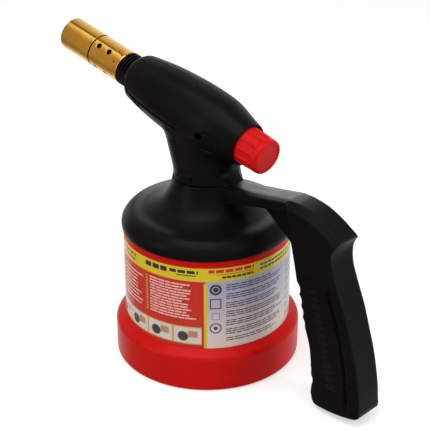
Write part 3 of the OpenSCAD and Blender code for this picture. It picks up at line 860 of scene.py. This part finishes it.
bell_section = Section(curve(BELL_OUTLINE, 0.5) + BELL_INNER, step=0.1)
handle_section = Section(
    ARM_TOP + curve(CROWN) + curve(BEAK + REAR) + curve(FOOT_LINE) + curve(FRONT) + ARM_UNDER
)
top_section = Section([(10, -10)] + ARM_TOP + curve(CROWN) + [(130, 88.4), (130, -10)], step=0.25)
gusset_section = Section(GUSSET)
cavity_section = Section(
    [(77, 88), (81.5, 70), (86.5, 50.8), (91.5, 35.9), (93.5, 19), (93.5, 9),
     (110, 9), (111.5, 13), (107, 38), (101, 60), (94.5, 77), (90, 90)]
)
PAST_BACK = 130
cover_section = Section(curve(SEAM) + [(PAST_BACK, SEAM[-1][1]), (PAST_BACK, SEAM[0][1])], margin=30)
cover_hollow = Section([(90, 76), (97.4, 76), (106.6, 55), (112, 38), (116, 21), (116.6, 13), (108, 13)])
seam_line = np.array(curve(SEAM, 1.0))


def seam_distance(back, z):
    """Distance from the line of the side groove."""
    nearest = np.full(np.broadcast(back, z).shape, 1e9, np.float32)
    for (b0, z0), (b1, z1) in zip(seam_line[:-2:2], seam_line[2::2]):
        db, dz = b1 - b0, z1 - z0
        t = np.clip(((back - b0) * db + (z - z0) * dz) / (db * db + dz * dz), 0, 1)
        nearest = np.minimum(nearest, np.hypot(back - b0 - t * db, z - z0 - t * dz))
    return nearest


SCALLOPS, SCALLOP_R, SCALLOP_DEPTH = 9, 5.0, 1.0
SCALLOP_ENDS = ((77.3, 69.5), (88.3, 17.5))
GRIP_BARS, BAR_RISE, BAR_HALF, BAR_R = 14, 0.45, 2.3, 0.8
GRIP_BAR_ENDS = ((88.0, 71.5), (103.0, 19.5))
GROOVE_HALF, GROOVE_DEPTH = 1.3, 1.4


def spaced(ends, count):
    """Evenly spaced places on the line between two ends."""
    (b0, z0), (b1, z1) = ends
    return [((1 - t) * b0 + t * b1, (1 - t) * z0 + t * z1) for t in (k / (count - 1) for k in range(count))]


def handle_field(x, y, z):
    """Arm, handle and gusset as one solid: soft-edged arm, broad bevel on the crown, rounder back corners."""
    back = -x
    flat = handle_section(back, z)
    for b, h in spaced(SCALLOP_ENDS, SCALLOPS):
        centre = b - SCALLOP_R + SCALLOP_DEPTH
        flat = smax(flat, SCALLOP_R - np.hypot(back - centre, z - h), 0.25)
    half = ARM_HALF + (HANDLE_W / 2 - ARM_HALF) * ramp(back, CROWN_START, CROWN_START + 3)
    face = np.abs(y) - half
    middle = 76 + np.clip(95 - z, 0, 95) * 0.31
    rear = ramp(back - middle, 2, 16) * ramp(-z, -98, -84)
    edge = 0.8 + 1.7 * rear * ramp(z, 2, 12)
    shape = extruded(flat, face, edge)

    # Bevels: shallow along the arm, broad and steep on the crown
    top = top_section(back, z)
    crown = ramp(back, CROWN_START, CROWN_START + 2)
    shallow = (ARM_SLOPE * top + np.abs(y) - ARM_BEVEL) / ARM_SLOPE_LENGTH
    broad = (top + np.abs(y) - CROWN_BEVEL) * CROWN_SLOPE
    shape = smax(shape, shallow * (1 - crown) + broad * crown, 0.4)

    # A row of short bars on each side of the grip, and the groove that marks the cover's joint
    for b, h in spaced(GRIP_BAR_ENDS, GRIP_BARS):
        along, across = np.maximum(np.abs(back - b) - BAR_HALF, 0), np.maximum(np.abs(z - h) - 0.3, 0)
        shape = shape - BAR_RISE * ramp(BAR_R - np.hypot(along, across), -0.2, 0.4) * (face > -1.5)
    groove = ramp(GROOVE_HALF - seam_distance(back, z), 0, 0.8)
    shape = shape + GROOVE_DEPTH * groove * ramp(z, 5, 14) * ramp(-z, -80, -70)
    web = extruded(gusset_section(back, z), np.abs(y) - WEB_HALF, 0.5)
    return smin(shape, web, 0.8)


def hollowed(shape, section, x, y, z):
    """A handle's shape with a flat-sided room cut in it."""
    return smax(shape, -extruded(section(-x, z), np.abs(y) - HANDLE_W / 2 + WALL, 0.6), FILLET)


def cover_ends(z):
    """Distance from the heights between which the grip's back is open."""
    return slab(z, SEAM[-1][1] + LAP, SEAM[0][1] - LAP)


def bell_field(x, y, z):
    """Bell, spigot, arm and handle as one moulding, open at the back of the grip."""
    radius = np.hypot(x, y)
    shell = bell_section(radius, z)
    shell = np.where(radius > SKIRT_BORE_R - 0.3, smax(shell, BELL_Z - z, 1.2), shell)
    arm = smax(handle_field(x, y, z), ARM_FROM_R - radius, 0.4)
    whole = smin(shell, arm, 1.6)
    whole = np.where(radius < SHELL_ONLY_R, shell, whole)
    whole = hollowed(whole, cavity_section, x, y, z)
    whole = np.maximum(whole, CUT - np.maximum(cover_section(-x, z), cover_ends(z)))
    return bayonet_slots(whole, x, y, z, radius)


SLOT_R, SLOT_DROP, SLOT_TURN, SLOT_MID_R, SLOT_FROM_R = 2.45, 6.0, math.radians(60), 44, 41


def bayonet_slots(whole, x, y, z, radius):
    """Sloping slots in the spigot for the cup's lugs, each with an upright mouth at its end."""
    if np.min(z) > LIP_TOP + 3:
        return whole
    angle = np.arctan2(y, x)
    wall = slab(radius, SLOT_FROM_R, SPIGOT_R + 0.3)
    for k in range(LUGS):
        off = (angle - k * 2 * math.pi / LUGS + math.pi) % (2 * math.pi) - math.pi
        share = np.clip(-off / SLOT_TURN, 0, 1)
        aside = (off + share * SLOT_TURN) * SLOT_MID_R
        hole = np.hypot(aside, z - (LUG_Z - SLOT_DROP * share)) - SLOT_R
        mouth = np.maximum(np.abs((off + SLOT_TURN) * SLOT_MID_R) - SLOT_R, z - (LUG_Z - SLOT_DROP))
        whole = smax(whole, -np.maximum(np.minimum(hole, mouth), wall), 0.2)
    return whole


def cover_field(x, y, z):
    """The grip's back; its two ends lap under the skin of the handle."""
    skin = handle_field(x, y, z) + INSET * ramp(cover_ends(z), -0.4, 0.0)
    return hollowed(np.maximum(skin, cover_section(-x, z) + CUT), cover_hollow, x, y, z)


def make_handle():
    """The black moulding of bell, arm and handle, and the grip's separate back."""
    low, high = (-HANDLE_BACK - 1.5, -BELL_R - 1.5, 1.0), (BELL_R + 1.5, BELL_R + 1.5, 119)
    body = surface_mesh(bell_field, low, high, 0.8)
    piece("bell_and_handle", body, "black_plastic", "torch", "bell_housing")
    low, high = (-HANDLE_BACK - 1.5, -11.5, 8), (-90, 11.5, 81)
    cover = surface_mesh(cover_field, low, high, 0.6)
    piece("grip_back", cover, "grip_plastic", "torch", "grip_cover")


# ---- head

HEAD_OUTLINE = [
    (12.3, -31.5), (14.4, -23.5), (17.4, -11.8), (18.3, 1), (18.1, 15.9),
    (16.9, 33.3), (14.4, 50.8), (13.2, 54.0), (11.7, 56.1), (10.0, 57.0),
]
HEAD_WALL, NECK_R, KNOB_RECESS_R = 2.3, 18.6, 11.3
BULKHEAD = (-23.0, -21.0)
NOSE_WALL, SHANK_R = 51.6, 9.2
SCREW_U = -10.5
COVER_START, COVER_DROP, COVER_END, SEAM_GAP = 3.0, 3.9, 54.6, 1.1
NECK_GAP, NECK_TOP, NECK_REACH = 0.7, 137, 7.0
PAD_H, PAD_RISE, PAD_BACK, PAD_FRONT = 6.4, 1.15, -5.8, 8.3
SCREW_R, SCREW_HEAD_R, BOSS_R = 1.5, 2.1, 4
VENTS, VENT_U, VENT_PITCH, VENT_DOWN, VENT_LEAN, VENT_FLOOR = 3, 44.5, 3.1, 8.2, 0.35, 0.7

# Holes through the bulkhead: distance below the axis, distance aside, radius
PORTS = ((0, 0, 2.95), (0, 8, 1.3), (-8.7, 0, 1.6))

head_curve = curve(HEAD_OUTLINE, 0.5)
head_section = Section([(0, -31.5)] + head_curve + [(0, 57)], step=0.1)
inner_curve = [(r - HEAD_WALL, u) for r, u in head_curve if BULKHEAD[1] < u < NOSE_WALL]
recess_section = Section([
    (-8.6, -1.4), (-13, -4.1), (-18, -4.4), (-21.2, -3), (-22, 0.5),
    (-20.8, 5), (-18.5, 8.4), (-13, 7.6), (-9.4, 2.9),
])
cavity_profile = Section([(0, BULKHEAD[1])] + inner_curve + [(11.6, NOSE_WALL), (0, NOSE_WALL)], step=0.1)


def neck_field(x, y, z):
    """Upright neck that reaches forward as it rises and spreads at its foot behind."""
    lean = np.clip((z - NECK_Z - 3) / 20, 0, 1.1)
    low = np.clip(1 - (z - NECK_Z) / 8, 0, 1) ** 2
    foot = low * (0.9 + 5.0 * ramp(-x, 6, 18) * ramp(10 - np.abs(y), 0, 4))
    side = np.hypot(x - np.clip(x, 0, NECK_REACH * lean), y) - (NECK_R - 0.3 * lean + foot)
    return smax(side, slab(z, NECK_Z + NECK_GAP, NECK_TOP), 0.6)


def head_outside(x, y, z, u, radius):
    """Barrel and neck with a fillet between them, wider at the rear than under the nose."""
    return smin(head_section(radius, u), neck_field(x, y, z), 5.5 - 3.0 * ramp(x, 0, 16))


def head_hollow(x, y, z, u, radius):
    """The room for the valve and igniter, and what opens into it: nose, knob recess, neck and stem."""
    room = cavity_profile(radius, u)
    shank = np.maximum(radius - SHANK_R - 0.05, slab(u, NOSE_WALL - 1, NOSE_WALL + 9))
    knob_room = np.maximum(radius - KNOB_RECESS_R, slab(u, -45, BULKHEAD[0]))
    upright = np.hypot(x, y)
    throat = np.maximum(upright - COLLAR_BORE_R + 0.3, slab(z, NECK_Z, NECK_Z + 26))
    collar = np.maximum(upright - 13.9, slab(z, 101, 121))
    stem = np.maximum(upright - STEM_R - 0.1, slab(z, 90, 110))
    hollow = smin(smin(room, throat, 1.5), smin(collar, stem, 0.3), 0.8)
    return np.minimum(np.minimum(hollow, shank), knob_room)


def cover_joint(u, down, x, z):
    """Where the underside cover parts from the head: past the side seams, and past its hidden rear edge."""
    seam = COVER_DROP - 7.5 * ramp(u, 47, 58) - down
    rear = np.maximum(COVER_START - u, 126.5 + 0.3 * (x - 10) - z)
    return seam, rear


def joint_edge(rear):
    """How round the joint's edges are: soft along the side seams, sharp at the hidden rear edge."""
    return 0.05 + 0.55 * ramp(-rear, LAP, LAP + 2)


def head_field(x, y, z):
    """The half of the head with y above 0."""
    u, down, radius = on_axis(x, y, z)
    upright = np.hypot(x, y)
    shape = head_outside(x, y, z, u, radius)
    spigot = smax(upright - COLLAR_BORE_R + 0.1, slab(z, PLATE_HIGH, PLATE_HIGH + 15), 0.4)
    shape = np.minimum(shape, spigot)

    # The key pad on the neck, with its upper front corner cut off
    pad = np.maximum(upright - NECK_R - PAD_RISE, slab(z, NECK_Z + NECK_GAP, NECK_Z + PAD_H))
    pad = smax(pad, slab(x, PAD_BACK, PAD_FRONT), FILLET)
    pad = smax(pad, (z - NECK_Z - PAD_H + (x - 5.0) * 0.9) * 0.74, FILLET)
    shape = np.minimum(shape, pad)

    # A shallow tear-shaped recess, deeper away from the screw
    depth = 0.35 + 0.95 * np.clip((SCREW_U - u) / 11, 0, 1)
    shape = shape + depth * ramp(-recess_section(u, down), 0.0, 0.7) * (y > 8)

    shape = smax(shape, -head_hollow(x, y, z, u, radius), FILLET)
    seam, rear = cover_joint(u, down, x, z)
    shape = smax(shape, -np.maximum(seam, rear + LAP), joint_edge(rear))

    # The screw's boss and its stepped hole
    from_screw = np.hypot(u - SCREW_U, down - 0.3)
    boss = smax(np.maximum(from_screw - BOSS_R, slab(y, 9.1, 18)), head_section(radius, u), FILLET)
    shape = smin(shape, boss, 0.4)
    shape = smax(shape, SCREW_HEAD_R - from_screw + 3 * (y < 11), 0.25)
    shape = np.maximum(shape, SCREW_R - from_screw)

    wall = slab(u, BULKHEAD[0] - 1, BULKHEAD[1] + 1)
    for below, aside, port_r in PORTS:
        port = np.hypot(down - below, y - aside) - port_r
        shape = np.maximum(shape, -np.maximum(port, wall))
    return smax(shape, CUT - y, FILLET)


def underside_field(x, y, z):
    """The cover under the nose, with three blind leaning vents."""
    u, down, radius = on_axis(x, y, z)
    seam, rear = cover_joint(u, down, x, z)
    shape = head_outside(x, y, z, u, radius) + INSET * ramp(rear, -LAP - 0.4, -LAP)
    hollow = head_hollow(x, y, z, u, radius)
    shape = smax(shape, -hollow, FILLET)
    shape = smax(shape, np.maximum(seam + SEAM_GAP, rear), joint_edge(rear))
    shape = smax(shape, u - COVER_END, 0.8)
    for k in range(VENTS):
        slope = u - (VENT_U - VENT_PITCH * k) + (down - 8) * VENT_LEAN
        vent = extruded(np.abs(slope) - 0.85, np.abs(down - VENT_DOWN) - 2.8, 0.3)
        shape = smax(shape, -np.maximum(vent, VENT_FLOOR - hollow), 0.2)
    return shape


def make_head():
    """Two mirrored halves and the underside cover."""
    low, high = (-35, -0.8, 96.5), (61.5, 21, 170)
    half = surface_mesh(head_field, low, high, 0.55)
    piece("head_half_left", half, "black_plastic", "torch", "head_shell_left")
    piece("head_half_right", mirrored(*half), "black_plastic", "torch", "head_shell_right")
    low, high = (1, -20.5, 119), (61.5, 20.5, 163)
    cover = surface_mesh(underside_field, low, high, 0.6)
    piece("head_underside", cover, "black_plastic", "torch", "underside_cover")


# ---- burner

COLLAR_START, COLLAR_R, RINGS, RING_PITCH, RING_W = 57.1, 10.0, 4, 2.2, 1.15
SHANK_START, FLANGE_START, FLANGE_R = 46, 49, 11
SOCKET_R, SOCKET_END, GAS_ROOM_R, GAS_ROOM_START = 8.65, 69, 4.15, 65.9
LANCE_R, ELECTRODE_OFFSET, ELECTRODE_R = 3.4, 6.3, 1.45


def collar_field(down, y, u):
    """Ribbed collar: rings over the top and the underside, with a plain land along each side."""
    radius = np.hypot(down, y)
    shape = np.maximum(radius - SHANK_R, slab(u, SHANK_START, COLLAR_START))
    shape = np.minimum(shape, smax(radius - FLANGE_R, slab(u, FLANGE_START, NOSE_WALL - 0.05), 0.3))
    core = smax(radius - COLLAR_R + 2.1, slab(u, COLLAR_START - 1, MIX_START), 0.2)
    land = smax(radius - COLLAR_R + 0.05, slab(u, COLLAR_START, MIX_START), 0.3)
    shape = np.minimum(shape, smin(core, smax(land, np.abs(down) - 2.5, 0.5), 0.4))
    for k in range(RINGS):
        start = COLLAR_START + k * RING_PITCH
        ring = smax(radius - COLLAR_R, slab(u, start, start + RING_W), 0.35)
        shape = np.minimum(shape, ring)
    shape = np.minimum(shape, np.maximum(radius - SOCKET_R, slab(u, MIX_START - 1, SOCKET_END)))
    shape = smax(shape, LANCE_R - radius, 0.2)
    shape = smax(shape, -np.maximum(radius - GAS_ROOM_R, GAS_ROOM_START - u), 0.1)
    return smax(shape, ELECTRODE_R - np.hypot(down + ELECTRODE_OFFSET, y), 0.1)


# Holes in the mixing tube: station, degrees from the underside, radius, distance of the floor from the axis
TUBE_HOLES = [(u, 49 + 90 * k, 1.7, 0) for k in range(4) for u in (76.4, 85.1)]
TUBE_HOLES += [(MIX_START + 4.4, 120, 0.65, MIX_R - 0.6), (MIX_START + 6.4, 164, 0.65, MIX_R - 0.6)]
TUBE_BORE_R, SPIGOT_TUBE_R, FLAME_BORE_R = 8.7, 9.15, 9.2


def mixing_field(down, y, u):
    """Rear brass tube with its air holes and dimples, a lip at the collar and a spigot for the front tube."""
    radius = np.hypot(down, y)
    lip = MIX_R + LIP_RISE * ramp(-u, -(MIX_START + 3.0), -(MIX_START + 0.8))
    shape = smax(radius - lip, slab(u, MIX_START, FLAME_START - 0.7), 0.25)
    shape = smin(shape, smax(radius - SPIGOT_TUBE_R, slab(u, MIX_START, MIX_END), 0.2), 0.1)
    shape = smax(shape, TUBE_BORE_R - radius, 0.15)
    for place, degrees, hole_r, floor in TUBE_HOLES:
        c, s = math.cos(math.radians(degrees)), math.sin(math.radians(degrees))
        off = np.hypot(u - place, down * s - y * c)
        shape = np.maximum(shape, hole_r - np.where(down * c + y * s > floor, off, 99))
    return shape


def flame_outline():
    """Half section of the front brass tube."""
    return rounded([
        (FLAME_BORE_R, FLAME_START, 0.1), (FLAME_R, FLAME_START, 0.25),
        (FLAME_R, FLAME_END, 0.3), (FLAME_BORE_R, FLAME_END, 0.25),
    ])


def make_burner():
    """Collar and the two brass tubes, on the tilted axis."""
    collar = surface_mesh(collar_field, (-12, -12, 45), (12, 12, 70), 0.4)
    piece("burner_ring_collar", along_axis(*collar), "black_plastic", "torch", "burner_collar")
    reach = MIX_R + 1.2
    mixing = surface_mesh(mixing_field, (-reach, -reach, MIX_START - 1), (reach, reach, MIX_END + 1), 0.36)
    piece("brass_mixing_tube", along_axis(*mixing), "brass_polished", "torch", "mixing_tube")
    flame = lathe_mesh(*flame_outline(), segments=160)
    piece("brass_flame_tube", along_axis(*flame), "brass_polished", "torch", "flame_tube")


# ---- knob

KNOB_PANELS = 12
HUB_END, SPINDLE_R, SPINDLE_FLAT, CAP_R, CAP_SEAT, BORE_GAP = -38.2, 2.45, 1.6, 7.95, 1.6, 0.15
PANEL_HALF, PANEL_DEPTH, SCREW_ROOM_R = 2.15, 0.75, 4
POCKET_IN, POCKET_OUT, POCKET_FROM, POCKET_TO = 5.5, 8.4, -36, -26

knob_section = Section(
    [(0, KNOB_BASE)]
    + curve([(KNOB_R - 0.2, KNOB_BASE), (KNOB_R, KNOB_BASE - 0.5)])
    + [(KNOB_R, KNOB_BASE - 1.8), (10.15, KNOB_END + 1.8)]
    + curve([(10.05, KNOB_END + 1.2), (9.7, KNOB_END + 0.4), (9.1, KNOB_END)], 0.2)
    + [(0, KNOB_END)],
    step=0.08,
)


def knob_field(down, y, u):
    """Knob with long shallow panels round its side, a sunk end and a D-shaped bore."""
    radius = np.hypot(down, y)
    angle = np.arctan2(y, down)
    shape = knob_section(radius, u)
    part = 2 * math.pi / KNOB_PANELS
    off = ((angle + part / 2) % part - part / 2) * radius
    panel = extruded(np.abs(off) - PANEL_HALF, slab(u, KNOB_END + 3.6, KNOB_BASE - 3.4), 0.9)
    shape = shape + PANEL_DEPTH * ramp(-panel, -0.2, 0.5)
    seat = np.maximum(radius - CAP_R - 0.05, slab(u, KNOB_END - 2, KNOB_END + CAP_SEAT))
    shape = smax(shape, -seat, 0.3)
    shape = np.maximum(shape, -np.maximum(radius - SCREW_ROOM_R, slab(u, KNOB_END - 1, HUB_END)))
    pocket = np.maximum(slab(radius, POCKET_IN, POCKET_OUT), slab(u, POCKET_FROM, POCKET_TO))
    shape = np.maximum(shape, -pocket)
    bore = np.maximum(radius - SPINDLE_R, down - SPINDLE_FLAT) - BORE_GAP
    return np.maximum(shape, -bore)


def cap_outline():
    """Half section of the knob's flat end cap."""
    face, seat = KNOB_END + 0.3, KNOB_END + CAP_SEAT - 0.05
    return rounded([(CENTRE_R, seat, 0), (CENTRE_R, face, 0), (CAP_R, face, 0.35), (CAP_R, seat, 0.2)])


def make_knob():
    """Knob and its end cap, on the tilted axis."""
    reach = KNOB_R + 1
    body = surface_mesh(knob_field, (-reach, -reach, KNOB_END - 1), (reach, reach, KNOB_BASE + 1), 0.36)
    piece("knob_body", along_axis(*body), "knob_plastic", "knob", "control_knob")
    cap = lathe_mesh(*cap_outline(), segments=96)
    piece("knob_end_cap", along_axis(*cap), "knob_plastic", "knob", "knob_cap")


# ---- igniter spring


def make_spring():
    """A coil between the plunger's flange and the hammer's guide."""
    low, high = node_box("piezo_spring")
    start, end, _ = stations("piezo_spring")
    below = ((low + high) / 2 - CROSSING) @ UNDER
    wire, radius, turns, steps, sides = 0.3, 2.0, 7, 28, 10
    count = turns * steps
    i, j = np.meshgrid(np.arange(count + 1), np.arange(sides), indexing="ij")
    around, across = i * 2 * math.pi / steps, j * 2 * math.pi / sides
    out, up = np.cos(across), np.sin(across)
    ring = radius + wire * out
    climb = start + wire + (end - start - 2 * wire) * i / count + wire * up
    points = np.stack([below + ring * np.cos(around), ring * np.sin(around), climb], 2).reshape(-1, 3)
    normals = np.stack([out * np.cos(around), out * np.sin(around), up], 2).reshape(-1, 3)
    i, j = i[:-1].ravel(), j[:-1].ravel()
    k = (j + 1) % sides
    quads = np.stack([i * sides + j, i * sides + k, (i + 1) * sides + k, (i + 1) * sides + j], 1)
    spring = piece("igniter_spring", along_axis(points, quads, normals), "steel", None, "piezo_spring")

    # The wire's two ends are closed, and the places of its two seats on the axis are worked out
    closed = bmesh.new()
    closed.from_mesh(spring.data)
    bmesh.ops.holes_fill(closed, edges=[e for e in closed.edges if e.is_boundary])
    closed.to_mesh(spring.data)
    closed.free()
    first, last = (tuple((CROSSING + AXIS * u + UNDER * below) * MM) for u in (start, end))
    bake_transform(spring)
    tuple(first)
    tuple(last)


make_cup()
make_label()
make_handle()
make_head()
make_burner()
make_knob()
make_spring()

# ---- materials for the CAD nodes that stay

SLOT_OF = {part["node"]: part["material_slot"] for part in frame["record"]["subparts"]}
for node, node_object in frame["nodes"].items():
    node_object.data.materials.clear()
    node_object.data.materials.append(MATERIALS[SLOT_OF[node]])


# ---- floor, light and camera


def make_floor():
    """A white floor that isn't mirrored in the torch."""
    s = Shader("floor_white")
    s.put(s.surface, "Base Color", s.mix(s.noise(3, 3), (0.62, 0.62, 0.62), (0.64, 0.64, 0.64)))
    s.put(s.surface, "Roughness", s.spread(s.noise(9, 3), 0.3, 0.7, 0.75, 0.9))
    s.put(s.surface, "Emission Color", (1, 1, 1))
    seen = s.node("ShaderNodeLightPath").outputs["Is Camera Ray"]
    s.put(s.surface, "Emission Strength", s.math("MULTIPLY", seen, 0.5))
    data = bpy.data.meshes.new("floor")
    half = 6.0
    corners = [(-half, -half, 0), (half, -half, 0), (half, half, 0), (-half, half, 0)]
    data.from_pydata(corners, [], [(0, 1, 2, 3)])
    data.materials.append(s.material)
    floor = bpy.data.objects.new("floor", data)
    floor.location.z = -0.0002
    floor.visible_glossy = False
    bpy.context.scene.collection.objects.link(floor)


def make_light(name, size, power, place, lit=None):
    """A soft rectangular lamp that faces the cup; it can be kept to some of the objects."""
    data = bpy.data.lights.new(name, "AREA")
    data.shape = "RECTANGLE"
    data.size, data.size_y = size
    data.energy = power
    lamp = bpy.data.objects.new(name, data)
    lamp.location = place
    lamp.rotation_mode = "QUATERNION"
    lamp.rotation_quaternion = (Vector((0, 0, 0.09)) - Vector(place)).to_track_quat("-Z", "Y")
    lamp.visible_camera = False
    bpy.context.scene.collection.objects.link(lamp)
    if lit:
        lamp.light_linking.receiver_collection = bpy.data.collections.new(name + "_lit")
        for item in lit:
            lamp.light_linking.receiver_collection.objects.link(item)


# What polished surfaces mirror, by direction about the burner's axis: (degrees from the underside, colour)
MIRRORED = [
    (0, (0.80, 0.78, 0.74)), (13, (0.50, 0.45, 0.37)), (30, (0.30, 0.25, 0.19)),
    (48, (0.30, 0.25, 0.19)), (62, (0.40, 0.33, 0.24)), (126, (0.44, 0.36, 0.26)),
    (142, (0.50, 0.42, 0.31)), (158, (0.72, 0.64, 0.52)), (166, (1.0, 0.98, 0.95)),
    (181, (1.0, 1.0, 0.98)), (185, (0.12, 0.10, 0.09)), (193, (0.10, 0.08, 0.07)),
    (197, (0.42, 0.38, 0.33)), (221, (0.65, 0.61, 0.57)), (237, (0.80, 0.79, 0.77)),
    (256, (0.90, 0.90, 0.90)),
]
AS_LIGHT = (0.50, 0.50, 0.50)


def make_world():
    """White to the camera, dimmer as light, and banded about the burner's axis in what surfaces mirror."""
    world = bpy.data.worlds.new("studio")
    bpy.context.scene.world = world
    world.use_nodes = True
    s = Nodes(world.node_tree)
    place = s.node("ShaderNodeTexCoord").outputs["Generated"]
    angle = s.math("ARCTAN2", s.along(place, (0, 1, 0)), s.along(place, tuple(UNDER)))
    steps = s.node("ShaderNodeValToRGB")
    stops = steps.color_ramp.elements
    stops.remove(stops[1])
    for k, (degrees, colour) in enumerate(MIRRORED):
        stop = stops[0] if k == 0 else stops.new(degrees / 360)
        stop.color = (*colour, 1)
    s.put(steps, "Fac", (angle * (1 / (2 * math.pi))).modulo(1.0))
    rays = s.node("ShaderNodeLightPath").outputs
    colour = s.mix(rays["Is Glossy Ray"], AS_LIGHT, steps.outputs["Color"])
    colour = s.mix(rays["Is Camera Ray"], colour, (1, 1, 1))
    back = s.tree.nodes["Background"]
    s.put(back, "Color", colour)
    s.put(back, "Strength", 1.0)


def make_camera():
    """The view over the left shoulder of the handle, down on the cup."""
    data = bpy.data.cameras.new("camera")
    data.lens, data.sensor_width = 98.34, 36.0
    data.clip_start, data.clip_end = 0.05, 20
    camera = bpy.data.objects.new("camera", data)
    camera.location = (-0.4236, 0.4311, 0.3802)
    right = Vector((-0.7184, -0.6956, 0.0))
    ahead = Vector((0.6247, -0.6451, -0.4400))
    up = right.cross(ahead)
    turn = Matrix((right, up, -ahead)).transposed()
    camera.rotation_mode = "QUATERNION"
    camera.rotation_quaternion = turn.to_quaternion()
    bpy.context.scene.collection.objects.link(camera)
    bpy.context.scene.camera = camera


make_floor()
make_light("top_softbox", (0.9, 0.9), 7, (-0.1, 0.35, 1.1))
make_light("right_softbox", (0.3, 0.8), 3.5, (-0.95, -0.25, 0.45))
make_light("left_softbox", (0.3, 0.8), 1.8, (0.35, 0.95, 0.45))
make_light("arm_light", (0.25, 0.20), 0.5, (0.223, -0.278, 0.215), lit=[bpy.data.objects["bell_and_handle"]])
make_world()
make_camera()
bpy.context.scene.view_settings.view_transform = "Standard"
